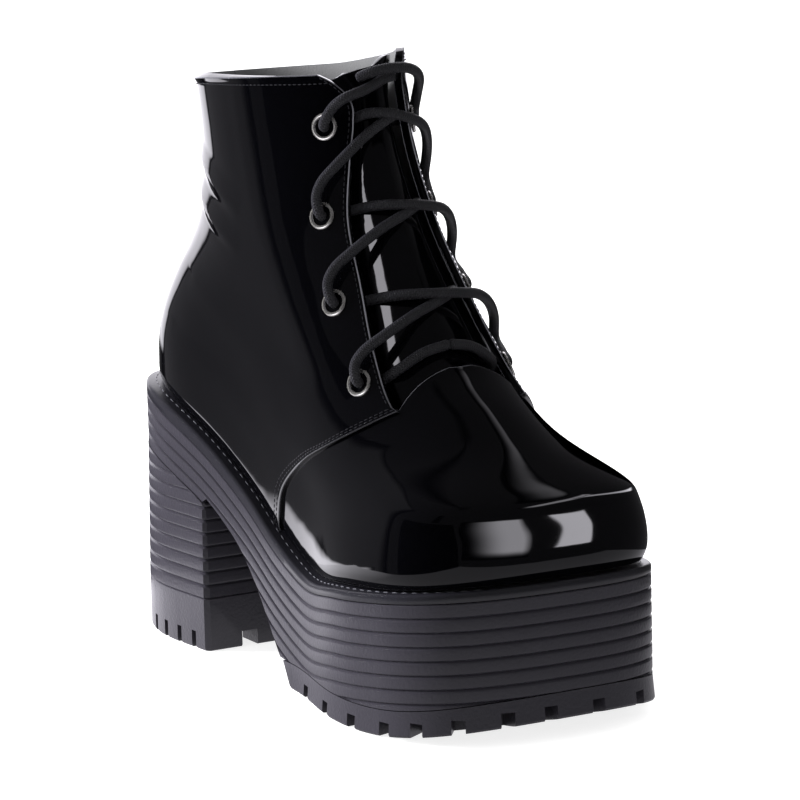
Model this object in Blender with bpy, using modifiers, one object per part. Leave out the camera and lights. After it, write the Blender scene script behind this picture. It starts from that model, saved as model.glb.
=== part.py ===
"""Platform lace-up ankle shoe, right foot, built as separate sub-parts.

Sizes are in millimetres and turn into metres in place().  A point of the shoe is (x, s, z):
x runs from the lateral side (minus) to the medial side (plus), s runs forward from the back
of the heel, and z runs up from the floor.
"""
from collections import namedtuple
from math import pi, radians

import bmesh
import bpy
import numpy as np
from mathutils import Matrix, Vector

# ---------------------------------------------------------------- driving sizes (millimetres)
LENGTH = 241.5          # sole, heel back to toe tip on the centre line
CENTRE_S = 120.6        # station that the frame's origin stands at
CENTRE_X = 2.1          # the forefoot is broader on the medial side
GAP = 0.3               # clearance between touching pieces

RIB_PITCH = 4.7         # grooves around the sole's side
RIB_GROOVE = 1.1        # groove width
RIB_DEPTH = 0.8
FOREFOOT_GROOVES = 8
BAND_GROOVES = 4        # grooves that run on over the heel block
HEEL_GROOVES = 12
HEEL_BREAST = 70.7      # front face of the heel block
BREAST_CHAMFER = 0.6
CHAMFER_CLEAR = 0.4     # the rail's own points stay this far behind the chamfer
BAND_MARGIN = 3.9       # rubber under the lowest groove that runs over the heel
HEEL_FLARE = 1.2        # the heel block is this much wider at its foot
HEEL_FLARE_TOP = 75.0   # height where the flare starts
HEEL_LIFT = 19.1        # height of the smooth top piece under the heel
TREAD_THICKNESS = 8.6   # lugged layer under the forefoot
TREAD_REAR = 132.8      # where the arch meets the floor
TREAD_SLOPE = 5.5       # how far the tread's rear face leans back over its height
TREAD_FLARE = 0.7       # the tread stands out this much at its foot
FOOT_CHAMFER = 0.5      # bevel around the edge that walks on the floor
FOOT_CHAMFER_HEIGHT = 0.8
TOE_SPRING = 7.4
SPRING_START = 190.0
NOTCH_REACH = 14.0      # how far a lug's notch runs in from the side
HEEL_NOTCH_WIDTH = 2.8
HEEL_NOTCH_HEIGHT = 6.2
HEEL_NOTCH_X = 43.0
HEEL_NOTCHES = (33.0, 43.0, 53.0, 63.0)
TREAD_NOTCH_WIDTH = 4.6
TREAD_NOTCH_HEIGHT = 4.6
CHANNELS = (-25, 0, 25)  # channels up the heel's breast, across the shoe
CHANNEL_WIDTH = 6.2
CHANNEL_HEIGHT = 5.6
CHANNEL_LENGTH = 60.0   # half of it lies in the heel
CUTTER_HEIGHT = 20.0
TOE_SKEW = 3.0          # the big toe's side stands further forward
TOE_SKEW_FROM = 150.0
TOE_SKEW_LENGTH = 90.0
TOE_SKEW_HALF = 45.0
END_SHARE = 0.3         # share of a ring side's points that goes round each end
WIDTH_STATIONS = [0, 0.18, 0.38, 0.57, 0.75, 0.93, 1.0]
HEEL_DRIFT = -1.2       # a ring's middle lies a little lateral at the heel
TOE_DRIFT = 2.2         # and medial from the ball forward
DRIFT_FROM = 0.35
DRIFT_LENGTH = 0.4

RIM_CROWN = 0.9         # rounding of the rim's upper edge
RIM_INSET = 1.0
RIM_BULGE = 0.15
INSOLE_BEVEL = 0.6

INSOLE_THICKNESS = 3.0
INSOLE_MARGIN = 10.7    # from the sole's edge: the ledge, the wall and a little play
WALL = 1.9              # leather and lining of the vamp
OVERLAY = 1.2           # the quarters lie on the vamp, one leather higher
TONGUE_DROP = 3.8       # tongue's face below the last's surface, down its middle
TONGUE_DROP_SIDE = 6.8  # and under the facings, where the lace runs between
TONGUE_THICKNESS = 1.8
TONGUE_SPREAD = 9       # columns of the last on each side of the middle
TONGUE_SLOPE = 9.0      # width over which its face sinks toward the facing's edge

EYELET_OUTER = 5.0      # radii
EYELET_BARREL = 3.6
EYELET_BORE = 3.0
EYELET_HOLE = 3.9
EYELET_FLANGE = 0.9
EYELET_SEAT = 0.7       # flange above the leather, clear of its curve
EYELET_REACH = 3.4      # barrel below the leather's face
EYELET_LIP = 0.4        # bore's edge above the seat
EYELET_ROUND = 0.9      # width over which the flange slopes to its edge
EYELET_SIDES = 10
LACE_RADIUS = 2.0
LACE_STEP = 4.0         # between points along a strand

SIDE_COLUMNS = 26       # points along each side of a ring

# ---------------------------------------------------------------- tables
# Side profile of the sole: height of the ribbed wall's upper edge and of the rim above it.
SideRow = namedtuple("SideRow", "s wall_top rim")
SOLE_SIDE = [
    SideRow(0, 85.8, 5.0),
    SideRow(14, 86.2, 5.0),
    SideRow(32, 84.6, 5.0),
    SideRow(60, 76.0, 5.0),
    SideRow(100, 57.0, 4.8),
    SideRow(122, 45.0, 4.5),
    SideRow(142, 38.6, 4.0),
    SideRow(180, 41.5, 3.5),
    SideRow(242, 48.8, 3.5),
]
# Underside of the waist between the heel block and the forefoot.
ArchRow = namedtuple("ArchRow", "s z")
ARCH = [ArchRow(70.7, 56.5), ArchRow(83.6, 49.5), ArchRow(96.4, 40.8), ArchRow(108.6, 28.3),
        ArchRow(120.6, 13.1), ArchRow(132.8, -0.5)]

# Notches between the lugs of the forefoot, from the waist around the toe and back.
NotchRow = namedtuple("NotchRow", "x s turn")
TREAD_NOTCHES = [NotchRow(-45, 148.5, 0), NotchRow(-49, 170, 0), NotchRow(-50, 189.5, 5),
                 NotchRow(-47, 207, 20), NotchRow(-42.5, 220, 38), NotchRow(-33, 231, 56),
                 NotchRow(-19, 239, 75), NotchRow(-4.5, 242, 88), NotchRow(13, 242, -80),
                 NotchRow(31, 238, -62), NotchRow(45, 224, -32), NotchRow(51, 205, -8),
                 NotchRow(52, 186, 0), NotchRow(50, 167, 0), NotchRow(45.5, 149, 0)]

# A closed ring of the last: its back and front points, how far it follows the ledge, its half
# widths on the way, how much of its length each end rounds off, and how square that end is.
Ring = namedtuple("Ring", "back_s back_z front_s front_z follow heel waist instep ball toe "
                          "round_back round_front square_back square_front")
SOLE_PLAN = Ring(0, 0, LENGTH, 0, 1.0, 41.8, 39.0, 42.3, 51.2, 47.0, 0.21, 0.16, 2.4, 2.5)
UPPER_RINGS = [
    Ring(5.5, 91.4, 238.0, 52.6, 1.00, 35.8, 32.4, 36.6, 46.8, 45.0, 0.21, 0.16, 2.4, 2.7),
    Ring(4.5, 99.0, 239.5, 59.5, 1.00, 37.0, 33.9, 38.0, 47.8, 46.0, 0.22, 0.16, 2.4, 2.7),
    Ring(4.5, 107.0, 238.0, 68.5, 0.95, 37.0, 34.8, 38.5, 46.8, 45.6, 0.23, 0.16, 2.4, 2.8),
    Ring(5.5, 115.0, 233.5, 77.5, 0.85, 36.5, 35.0, 38.0, 44.8, 44.0, 0.25, 0.16, 2.4, 3.0),
    Ring(8.5, 124.0, 214.0, 89.5, 0.70, 35.5, 34.5, 36.5, 39.5, 35.5, 0.28, 0.25, 2.3, 2.3),
    Ring(13.0, 134.0, 197.5, 101.5, 0.50, 34.0, 33.8, 34.6, 35.0, 32.5, 0.32, 0.31, 2.2, 2.1),
    Ring(17.5, 143.0, 180.5, 113.5, 0.30, 32.5, 33.0, 33.5, 34.0, 33.5, 0.38, 0.30, 2.1, 2.0),
    Ring(21.0, 153.0, 168.0, 131.0, 0.12, 31.0, 32.0, 32.5, 32.5, 32.5, 0.43, 0.36, 2.0, 1.8),
    Ring(24.5, 166.0, 152.0, 155.0, 0.00, 29.5, 30.5, 31.0, 31.0, 30.0, 0.47, 0.42, 2.0, 1.7),
    Ring(26.0, 183.0, 138.5, 182.0, 0.00, 29.0, 29.5, 29.5, 29.5, 29.5, 0.50, 0.48, 2.0, 1.7),
    Ring(24.5, 200.0, 132.0, 210.5, 0.00, 30.0, 30.0, 30.0, 30.0, 30.0, 0.50, 0.50, 2.0, 1.7),
]
MEDIAL_SLIM = 0.09      # the shaft is flatter on its medial side
COLLAR_TWIST = 2.5      # the medial front corner of the collar stands higher
TWIST_FROM = 60.0
TWIST_LENGTH = 60.0
TWIST_HALF = 15.0
THROAT_RING = 6         # the vamp's throat line lies on this ring

# Edge of the quarters in the side view, from the sole up to the throat's corner.
SeamRow = namedtuple("SeamRow", "s z")
QUARTER_SEAM = [SeamRow(118, 40), SeamRow(120, 55), SeamRow(126, 69), SeamRow(142, 80),
                SeamRow(165, 91), SeamRow(181, 101)]
# Half width of the throat in the front view.
ThroatRow = namedtuple("ThroatRow", "z half_width")
THROAT = [ThroatRow(88, 24.0), ThroatRow(104, 23.8), ThroatRow(120, 21.9), ThroatRow(140, 18.7),
          ThroatRow(160, 16.2), ThroatRow(180, 12.8), ThroatRow(200, 9.0), ThroatRow(206, 10.5),
          ThroatRow(211, 14.0), ThroatRow(216, 22.0)]
THROAT_REAR = 95.0      # reach of the cutter that opens the throat
THROAT_FRONT = 180.5
VAMP_TOP = 106.0        # the vamp's relief reaches this height behind the throat line
VAMP_MARGIN = 2.0       # and this far past the throat opening
# Reach of the cutters past the upper.
RELIEF_REACH = 4.0
CLEAR_TOP = 240.0
CLEAR_FRONT = 270.0
CLEAR_FOOT = 20.0
CLEAR_SIDE = 90.0
# Eyelets, from the toe up: half distance between a pair, and height.
EyeletRow = namedtuple("EyeletRow", "half_width z")
EYELETS = [EyeletRow(27.6, 108.4), EyeletRow(25.8, 132.5), EyeletRow(21.5, 160.0),
           EyeletRow(16.6, 189.5)]

# A strand of lace on its way from an eyelet to the opposite one, a row higher: how far across it
# is, how far up, and how high its middle lies over the last.
StrandRow = namedtuple("StrandRow", "across up height")
OVER_STRAND = [StrandRow(0.12, 0.30, 4.2), StrandRow(0.18, 0.50, 4.4), StrandRow(0.24, 0.84, 4.2),
               StrandRow(0.40, 1.03, 3.0), StrandRow(0.58, 1.15, -0.2),
               StrandRow(0.70, 1.16, -0.9)]
UNDER_STRAND = [StrandRow(0.10, 0.30, 4.2), StrandRow(0.17, 0.47, 4.7), StrandRow(0.26, 0.66, 3.4),
                StrandRow(0.38, 0.82, 0.4), StrandRow(0.47, 0.93, -0.8),
                StrandRow(0.60, 1.05, -0.8), StrandRow(0.70, 1.12, -0.9)]
# Strands that have a route of their own.
RouteRow = namedtuple("RouteRow", "x z height")
BAR = [RouteRow(-18.5, 113.8, -1.4), RouteRow(-9.7, 118.5, -0.8), RouteRow(0, 120.6, -0.7),
       RouteRow(9.7, 118.8, -0.8), RouteRow(18.5, 113.8, -1.4)]
TOP_OVER = [RouteRow(13.0, 197.0, 4.2), RouteRow(11.6, 201.5, 4.2), RouteRow(8.5, 204.8, 3.8),
            RouteRow(3.0, 206.4, 2.9), RouteRow(-3.0, 206.4, 0.4), RouteRow(-6.5, 205.6, -0.6)]
TOP_UNDER = [RouteRow(-13.2, 196.5, 4.2), RouteRow(-10.8, 198.8, 5.0), RouteRow(-6.8, 201.2, 2.4),
             RouteRow(-2.0, 203.8, -0.7), RouteRow(2.5, 205.6, -0.8), RouteRow(6.5, 205.6, -0.8)]

# colour, roughness, metallic
LOOKS = {
    "patent_leather": ((0.006, 0.006, 0.007, 1), 0.06, 0.0),
    "sole_rubber": ((0.025, 0.024, 0.027, 1), 0.55, 0.0),
    "rim_leather": ((0.010, 0.010, 0.012, 1), 0.30, 0.0),
    "eyelet_metal": ((0.70, 0.69, 0.68, 1), 0.20, 1.0),
    "waxed_cord": ((0.012, 0.012, 0.013, 1), 0.60, 0.0),
    "insole_lining": ((0.020, 0.019, 0.019, 1), 0.80, 0.0),
}


# ---------------------------------------------------------------- scene helpers
def clear_scene():
    for item in list(bpy.data.objects):
        bpy.data.objects.remove(item, do_unlink=True)


def collection(name):
    group = bpy.data.collections.get(name) or bpy.data.collections.new(name)
    if name not in bpy.context.scene.collection.children:
        bpy.context.scene.collection.children.link(group)
    return group


def material(name):
    made = bpy.data.materials.get(name)
    if made is None:
        made = bpy.data.materials.new(name)
        made.use_nodes = True
        colour, roughness, metallic = LOOKS[name]
        shader = made.node_tree.nodes["Principled BSDF"]
        shader.inputs["Base Color"].default_value = colour
        shader.inputs["Roughness"].default_value = roughness
        shader.inputs["Metallic"].default_value = metallic
    return made


def place(x, s, z):
    """A point of the shoe in metres, toe toward -Y."""
    return Vector(((x - CENTRE_X) * 0.001, (CENTRE_S - s) * 0.001, z * 0.001))


def new_object(name, mesh, look, guide=False):
    item = bpy.data.objects.new(name, mesh)
    collection("guides" if guide else "platform_shoe").objects.link(item)
    if guide:
        item.hide_render = True
        item.display_type = "WIRE"
    else:
        mesh.materials.append(material(look))
    return item


def solid(name, points, faces, look=None, guide=False):
    """Closed mesh from shoe points and faces; coincident points are merged."""
    bm = bmesh.new()
    verts = [bm.verts.new(place(*p)) for p in points]
    for face in faces:
        corners = list(dict.fromkeys(face))
        if len(corners) > 2:
            bm.faces.new([verts[i] for i in corners])
    bmesh.ops.remove_doubles(bm, verts=bm.verts, dist=2e-6)
    bmesh.ops.dissolve_degenerate(bm, dist=1e-6, edges=bm.edges)
    bmesh.ops.triangulate(bm, faces=bm.faces)
    bmesh.ops.recalc_face_normals(bm, faces=bm.faces)
    if bm.calc_volume(signed=True) < 0:
        bmesh.ops.reverse_faces(bm, faces=bm.faces)
    mesh = bpy.data.meshes.new(name)
    bm.to_mesh(mesh)
    bm.free()
    return new_object(name, mesh, look, guide)


def boolean(item, cutter, operation):
    step = item.modifiers.new(cutter.name, "BOOLEAN")
    step.operation = operation
    step.object = cutter


def smooth_through(stations, values):
    """Function on a smooth curve through the given values."""
    xs = np.array(stations, float)
    ys = np.array(values, float)
    slopes = np.gradient(ys, xs)

    def value(x):
        x = np.clip(x, xs[0], xs[-1])
        i = np.clip(np.searchsorted(xs, x, side="right") - 1, 0, len(xs) - 2)
        h = xs[i + 1] - xs[i]
        t = (x - xs[i]) / h
        return ((2 * t**3 - 3 * t**2 + 1) * ys[i] + (t**3 - 2 * t**2 + t) * h * slopes[i]
                + (3 * t**2 - 2 * t**3) * ys[i + 1] + (t**3 - t**2) * h * slopes[i + 1])
    return value


# ---------------------------------------------------------------- the last's functions
wall_top = smooth_through([r.s for r in SOLE_SIDE], [r.wall_top for r in SOLE_SIDE])
rim_height = smooth_through([r.s for r in SOLE_SIDE], [r.rim for r in SOLE_SIDE])
arch = smooth_through([r.s for r in ARCH], [r.z for r in ARCH])
seam_station = smooth_through([r.z for r in QUARTER_SEAM], [r.s for r in QUARTER_SEAM])
throat_half = smooth_through([r.z for r in THROAT], [r.half_width for r in THROAT])


def ledge(s):
    """Top of the rim, where the upper stands."""
    return wall_top(s) + rim_height(s)


def toe_spring(s):
    return TOE_SPRING * np.clip((s - SPRING_START) / (LENGTH - SPRING_START), 0, None) ** 2


def ring_rails(row, count):
    """Fractions along a ring and half widths there, closed to nought at both ends."""
    v = np.linspace(0, 1, count)
    middle = (v - END_SHARE) / (1 - 2 * END_SHARE)
    f = np.where(v < END_SHARE, row.round_back * (1 - np.cos(pi / 2 * v / END_SHARE)),
                 np.where(v > 1 - END_SHARE,
                          1 - row.round_front * (1 - np.cos(pi / 2 * (1 - v) / END_SHARE)),
                          row.round_back + (1 - row.round_front - row.round_back) * middle))
    half = smooth_through(WIDTH_STATIONS, [row.heel, row.heel, row.waist, row.instep, row.ball,
                                           row.toe, row.toe])
    back = 1 - np.clip(1 - f / row.round_back, 0, 1) ** row.square_back
    front = 1 - np.clip(1 - (1 - f) / row.round_front, 0, 1) ** row.square_front
    return f, half(f) * back ** (1 / row.square_back) * front ** (1 / row.square_front)


def centre_line(f):
    """How far the ring's middle drifts to the medial side."""
    return HEEL_DRIFT + (TOE_DRIFT - HEEL_DRIFT) * np.clip((f - DRIFT_FROM) / DRIFT_LENGTH, 0, 1)


def ring_points(row):
    """Closed ring: lateral side forward, then medial side back, as x, s, z columns."""
    f, half = ring_rails(row, SIDE_COLUMNS)
    middle = centre_line(f) * np.sign(half) * row.follow
    lateral = np.stack([middle - half, f], axis=1)
    slim = 1 - MEDIAL_SLIM * (1 - row.follow)
    medial = np.stack([middle + half * slim, f], axis=1)[-2:0:-1]
    x, f = np.concatenate([lateral, medial]).T
    s = row.back_s + (row.front_s - row.back_s) * f
    ahead = np.clip((s - TOE_SKEW_FROM) / TOE_SKEW_LENGTH, 0, 1)
    s = s + TOE_SKEW * (x / TOE_SKEW_HALF) * ahead ** 2
    straight = row.back_z + (row.front_z - row.back_z) * f
    lift = (row.back_z - ledge(row.back_s)) * (1 - f) + (row.front_z - ledge(row.front_s)) * f
    z = row.follow * (ledge(s) + lift) + (1 - row.follow) * straight
    return np.stack([x, s, z], axis=1)


def unit(v):
    return v / np.maximum(np.linalg.norm(v, axis=-1, keepdims=True), 1e-9)


class Last:
    """The upper's outer surface as a grid of rings, from the ledge to the collar."""

    def __init__(self, rings=16):
        keys = np.array([ring_points(row) for row in UPPER_RINGS])
        collar = keys[-1]
        forward = np.clip((collar[:, 1] - TWIST_FROM) / TWIST_LENGTH, 0, 1)
        collar[:, 2] += COLLAR_TWIST * np.clip(collar[:, 0] / TWIST_HALF, -1, 1) * forward
        rows = len(keys)
        levels = np.linspace(0, rows - 1, rings)
        flat = keys.reshape(rows, -1)
        slopes = np.gradient(flat, axis=0)
        i = np.clip(levels.astype(int), 0, rows - 2)
        t = (levels - i)[:, None]
        grid = ((2 * t**3 - 3 * t**2 + 1) * flat[i] + (t**3 - 2 * t**2 + t) * slopes[i]
                + (3 * t**2 - 2 * t**3) * flat[i + 1] + (t**3 - t**2) * slopes[i + 1])
        self.grid = grid.reshape(len(levels), -1, 3)
        self.throat_row = int(round(THROAT_RING * (rings - 1) / (rows - 1)))
        around = np.roll(self.grid, -1, axis=1) - np.roll(self.grid, 1, axis=1)
        up = np.gradient(self.grid, axis=0)
        self.normals = unit(np.cross(around, up))
        middle = self.grid.mean(axis=1, keepdims=True)
        if ((self.grid - middle) * self.normals).sum() < 0:
            self.normals = -self.normals

    def offset(self, distance):
        return self.grid + self.normals * distance

    def at_height(self, x, z):
        """Point and outward normal on the front of the shoe at a given x and height."""
        columns = self.grid.shape[1]
        best = None
        for row in range(self.grid.shape[0] - 1):
            for column in range(columns):
                corners = [(row, column), (row + 1, column), (row, (column + 1) % columns)]
                a, b, c = (self.grid[k] for k in corners)
                edges = np.array([[b[0] - a[0], c[0] - a[0]], [b[2] - a[2], c[2] - a[2]]])
                if abs(np.linalg.det(edges)) < 1e-6:
                    continue
                p, q = np.linalg.solve(edges, [x - a[0], z - a[2]])
                if -0.001 <= p <= 1 and -0.001 <= q <= 1:
                    point = a + p * (b - a) + q * (c - a)
                    if best is None or point[1] > best[0][1]:
                        flat = unit(np.cross(b - a, c - a))
                        best = (point, flat * np.sign(flat @ self.normals[corners[0]]))
        return best


def shell(name, outer, inner, look=None, guide=False):
    """Closed wall between two grids of rings, open at the bottom and at the top."""
    rows, columns = outer.shape[:2]
    points = np.concatenate([outer.reshape(-1, 3), inner.reshape(-1, 3)])
    other = rows * columns
    faces = []
    for r in range(rows - 1):
        for c in range(columns):
            d = (c + 1) % columns
            quad = (r * columns + c, r * columns + d, (r + 1) * columns + d, (r + 1) * columns + c)
            faces += [quad, tuple(other + k for k in reversed(quad))]
    for r in (0, rows - 1):
        for c in range(columns):
            a, b = r * columns + c, r * columns + (c + 1) % columns
            faces.append((a, b, other + b, other + a))
    return solid(name, points, faces, look, guide)


# ---------------------------------------------------------------- solids between two rails
def inset_loop(loop, distance):
    """Move a closed plan loop inward by a distance, one number or one a point."""
    along = np.roll(loop, -1, axis=0) - np.roll(loop, 1, axis=0)
    inward = unit(np.stack([along[:, 1], -along[:, 0]], axis=1))
    after = np.roll(loop, -1, axis=0)
    turning = np.sum(loop[:, 0] * after[:, 1] - loop[:, 1] * after[:, 0])
    if turning > 0:
        inward = -inward
    return loop + inward * np.reshape(distance, (-1, 1))


def rails(first_s=-10.0, last_s=1000.0, inset=0.0):
    """Lateral and medial rails of the sole's plan, cut straight across at two stations."""
    loop = ring_points(SOLE_PLAN)[:, :2]
    plain = loop[:SIDE_COLUMNS, 1]
    loop = inset_loop(loop, inset)
    made = []
    for rail in (loop[:SIDE_COLUMNS], np.concatenate([loop[:1], loop[:SIDE_COLUMNS - 2:-1]])):
        kept = rail[(plain > first_s + 0.5) & (plain < last_s - 0.5)]
        ends = [[np.interp(at, rail[:-2, 1], rail[:-2, 0]), at] for at in (first_s, last_s)]
        if first_s > 0:
            kept = np.vstack([ends[:1], kept])
        if last_s < LENGTH:
            kept = np.vstack([kept, ends[1:]])
        made.append(kept)
    return made


def between_rails(name, pair, layers, look):
    """Solid on rungs between two rails.  A layer turns stations into heights and insets."""
    lateral, medial = pair
    count = len(lateral)
    loop = np.concatenate([lateral, medial[::-1]])
    size = len(loop)
    repeated = np.abs(loop - np.roll(loop, 1, axis=0)).sum(axis=1) < 1e-6
    distinct = loop[~repeated]
    index = [int(np.argmin(np.abs(distinct - p).sum(axis=1))) for p in loop]
    width = len(distinct)
    points = []
    for layer in layers:
        heights, insets = layer(distinct[:, 1])
        points.append(np.column_stack([inset_loop(distinct, insets), heights]))
    faces = []
    for n in range(len(layers) - 1):
        for c in range(width):
            d = (c + 1) % width
            faces.append((n * width + c, n * width + d, (n + 1) * width + d, (n + 1) * width + c))
    for start in (0, (len(layers) - 1) * width):
        for c in range(count - 1):
            faces.append(tuple(start + index[k] for k in (c, c + 1, size - 2 - c, size - 1 - c)))
    return solid(name, np.concatenate(points), faces, look)


def level(height, inset=0.0):
    """Layer at a height that may depend on the station."""
    def layer(s):
        z = height(s) if callable(height) else height
        return np.broadcast_to(z, s.shape), np.broadcast_to(inset, s.shape)
    return layer


def upright(z):
    return 0 * z


def grooved(top, bottom, grooves, flare=upright):
    """Layers of a wall from its top down, with a V groove along each given height."""
    layers = []
    rows = [(top, 0.0, 0.0)]
    for height in grooves:
        rows += [(height, RIB_GROOVE / 2, 0.0), (height, 0.0, RIB_DEPTH),
                 (height, -RIB_GROOVE / 2, 0.0)]
    for height, step, depth in rows + [(bottom, 0.0, 0.0)]:
        def layer(s, height=height, step=step, depth=depth):
            z = height(s) + step
            clear = (z > bottom(s)) & (z < top(s))
            z = np.clip(z, bottom(s), top(s))
            return z, np.where(clear, depth, 0.0) - flare(z)
        layers.append(layer)
    return layers


def heel_flare(z):
    return HEEL_FLARE * np.clip((HEEL_FLARE_TOP - z) / (HEEL_FLARE_TOP - HEEL_LIFT), 0, 1)


# ---------------------------------------------------------------- sole
def tread_top(s):
    return toe_spring(s) + TREAD_THICKNESS


def band_bottom(s):
    return wall_top(s) - (BAND_GROOVES - 1) * RIB_PITCH - BAND_MARGIN


def platform_bottom(s):
    under_waist = np.maximum(arch(s), tread_top(s) + GAP)
    return np.where(s < HEEL_BREAST, band_bottom(s), under_waist)


def below_wall_top(drop):
    def height(s):
        return wall_top(s) - drop
    return height


def build_platform():
    grooves = [below_wall_top(RIB_PITCH * (n + 1)) for n in range(FOREFOOT_GROOVES)]
    return between_rails("platform", rails(), grooved(wall_top, platform_bottom, grooves),
                         "sole_rubber")


def heel_rails():
    """Rails of the heel, each with a chamfer at the breast."""
    made = []
    for rail, side in zip(rails(last_s=HEEL_BREAST), (1, -1)):
        corner_x = rail[-1, 0]
        shoulder = (corner_x, HEEL_BREAST - BREAST_CHAMFER)
        tip = (corner_x + side * BREAST_CHAMFER, HEEL_BREAST)
        kept = rail[rail[:, 1] < shoulder[1] - CHAMFER_CLEAR]
        made.append(np.vstack([kept, shoulder, tip]))
    return made


def heel_block_top(s):
    return band_bottom(s) - GAP


def at_height(z):
    def height(s):
        return np.full_like(s, z)
    return height


def build_heel_block():
    grooves = [at_height(HEEL_LIFT + RIB_PITCH * n) for n in range(HEEL_GROOVES, 0, -1)]
    layers = grooved(heel_block_top, at_height(HEEL_LIFT + GAP), grooves, heel_flare)
    return between_rails("heel_block", heel_rails(), layers, "sole_rubber")


def notch(name, x, s, z, width, reach, turn=0.0):
    """Guide box that cuts a notch up into the sole's underside."""
    mesh = bpy.data.meshes.new(name)
    bm = bmesh.new()
    bmesh.ops.create_cube(bm, size=0.001)
    bmesh.ops.scale(bm, verts=bm.verts, vec=(reach, width, CUTTER_HEIGHT))
    bmesh.ops.rotate(bm, verts=bm.verts, matrix=Matrix.Rotation(radians(turn), 3, "Z"))
    bmesh.ops.translate(bm, verts=bm.verts, vec=place(x, s, z - CUTTER_HEIGHT / 2))
    bm.to_mesh(mesh)
    bm.free()
    return new_object(name, mesh, None, guide=True)


def build_heel_top_piece():
    layers = [level(HEEL_LIFT, -HEEL_FLARE), level(FOOT_CHAMFER_HEIGHT, -HEEL_FLARE),
              level(0.0, FOOT_CHAMFER - HEEL_FLARE)]
    piece = between_rails("heel_top_piece", heel_rails(), layers, "sole_rubber")
    for n, s in enumerate(HEEL_NOTCHES):
        for side, word in ((-1, "lateral"), (1, "medial")):
            cutter = notch(f"heel_notch_{word}_{n}", side * HEEL_NOTCH_X, s, HEEL_NOTCH_HEIGHT,
                           HEEL_NOTCH_WIDTH, 2 * NOTCH_REACH)
            boolean(piece, cutter, "DIFFERENCE")
    for n, x in enumerate(CHANNELS):
        cutter = notch(f"breast_channel_{n}", x, HEEL_BREAST, CHANNEL_HEIGHT, CHANNEL_LENGTH,
                       CHANNEL_WIDTH)
        boolean(piece, cutter, "DIFFERENCE")
    return piece


def tread_foot(s):
    return toe_spring(s) + FOOT_CHAMFER_HEIGHT


def build_forefoot_tread():
    layers = [level(tread_top), level(tread_foot, -TREAD_FLARE),
              level(toe_spring, FOOT_CHAMFER - TREAD_FLARE)]
    piece = between_rails("forefoot_tread", rails(first_s=TREAD_REAR), layers, "sole_rubber")
    for vertex in piece.data.vertices:
        s = CENTRE_S - vertex.co.y * 1000
        if s < TREAD_REAR + 1.0:
            vertex.co.y += TREAD_SLOPE * vertex.co.z / TREAD_THICKNESS
    for n, row in enumerate(TREAD_NOTCHES):
        top = TREAD_NOTCH_HEIGHT + toe_spring(min(row.s, LENGTH))
        cutter = notch(f"tread_notch_{n}", row.x, row.s, top, TREAD_NOTCH_WIDTH,
                       2 * NOTCH_REACH, row.turn)
        boolean(piece, cutter, "DIFFERENCE")
    return piece


def rim_shoulder(s):
    return ledge(s) - RIM_CROWN


def rim_foot(s):
    return wall_top(s) + GAP


def build_welt():
    layers = [level(ledge, RIM_INSET), level(rim_shoulder, RIM_BULGE), level(rim_foot)]
    return between_rails("welt", rails(), layers, "rim_leather")


def insole_foot(s):
    return ledge(s) + GAP


def insole_top(s):
    return insole_foot(s) + INSOLE_THICKNESS


def build_insole():
    layers = [level(insole_top, INSOLE_BEVEL), level(insole_foot)]
    return between_rails("insole", rails(inset=INSOLE_MARGIN), layers, "insole_lining")


# ---------------------------------------------------------------- upper
def prism(name, outline, depth_of):
    """Guide prism: an outline of points, and how a point reads at either end."""
    size = len(outline)
    points = [depth_of(end, *corner) for end in (0, 1) for corner in outline]
    faces = [tuple(range(size)), tuple(range(2 * size - 1, size - 1, -1))]
    faces += [(k, (k + 1) % size, size + (k + 1) % size, size + k) for k in range(size)]
    return solid(name, points, faces, guide=True)


def across_shoe(end, s, z):
    """Corner of a side view's outline on the lateral or the medial side."""
    return (-CLEAR_SIDE, CLEAR_SIDE)[end], s, z


def through_throat(end, x, z):
    """Corner of a front view's outline at the throat's rear or front."""
    return x, (THROAT_REAR, THROAT_FRONT)[end], z


def extended_down(grid):
    """Grid with one more ring below, so that a cutter reaches past the edge."""
    below = grid[0] * 2 - grid[1]
    return np.concatenate([below[None], grid])


def curve_points(table, across, count):
    """Points (across, z) on a smooth curve through a table's rows."""
    heights = np.linspace(table[0].z, table[-1].z, count)
    return [(float(across(z)), float(z)) for z in heights]


def build_upper(last):
    upper = shell("upper", last.offset(OVERLAY), last.offset(-WALL), "patent_leather")
    relief = shell("vamp_relief", extended_down(last.offset(OVERLAY + RELIEF_REACH)),
                   extended_down(last.offset(0)), guide=True)
    seam = curve_points(QUARTER_SEAM, seam_station, 12)
    top_s = THROAT_FRONT + VAMP_MARGIN
    outline = seam + [(top_s, VAMP_TOP), (top_s, CLEAR_TOP), (CLEAR_FRONT, CLEAR_TOP),
                      (CLEAR_FRONT, CLEAR_FOOT), (seam[0][0], CLEAR_FOOT)]
    boolean(relief, prism("vamp_side", outline, across_shoe), "INTERSECT")
    boolean(upper, relief, "DIFFERENCE")
    edge = curve_points(THROAT, throat_half, 14)
    mirrored = [(-x, z) for x, z in reversed(edge)]
    boolean(upper, prism("throat_opening", edge + mirrored, through_throat), "DIFFERENCE")
    return upper


def eyelet_frame(last, row, side):
    point, normal = last.at_height(side * row.half_width, row.z)
    centre = place(*(point + normal * OVERLAY))
    tip = place(*(point + normal * (OVERLAY + 1)))
    return centre, (tip - centre).normalized()


def weld(item):
    step = item.modifiers.new("weld", "WELD")
    step.merge_threshold = 0.00001


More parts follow.
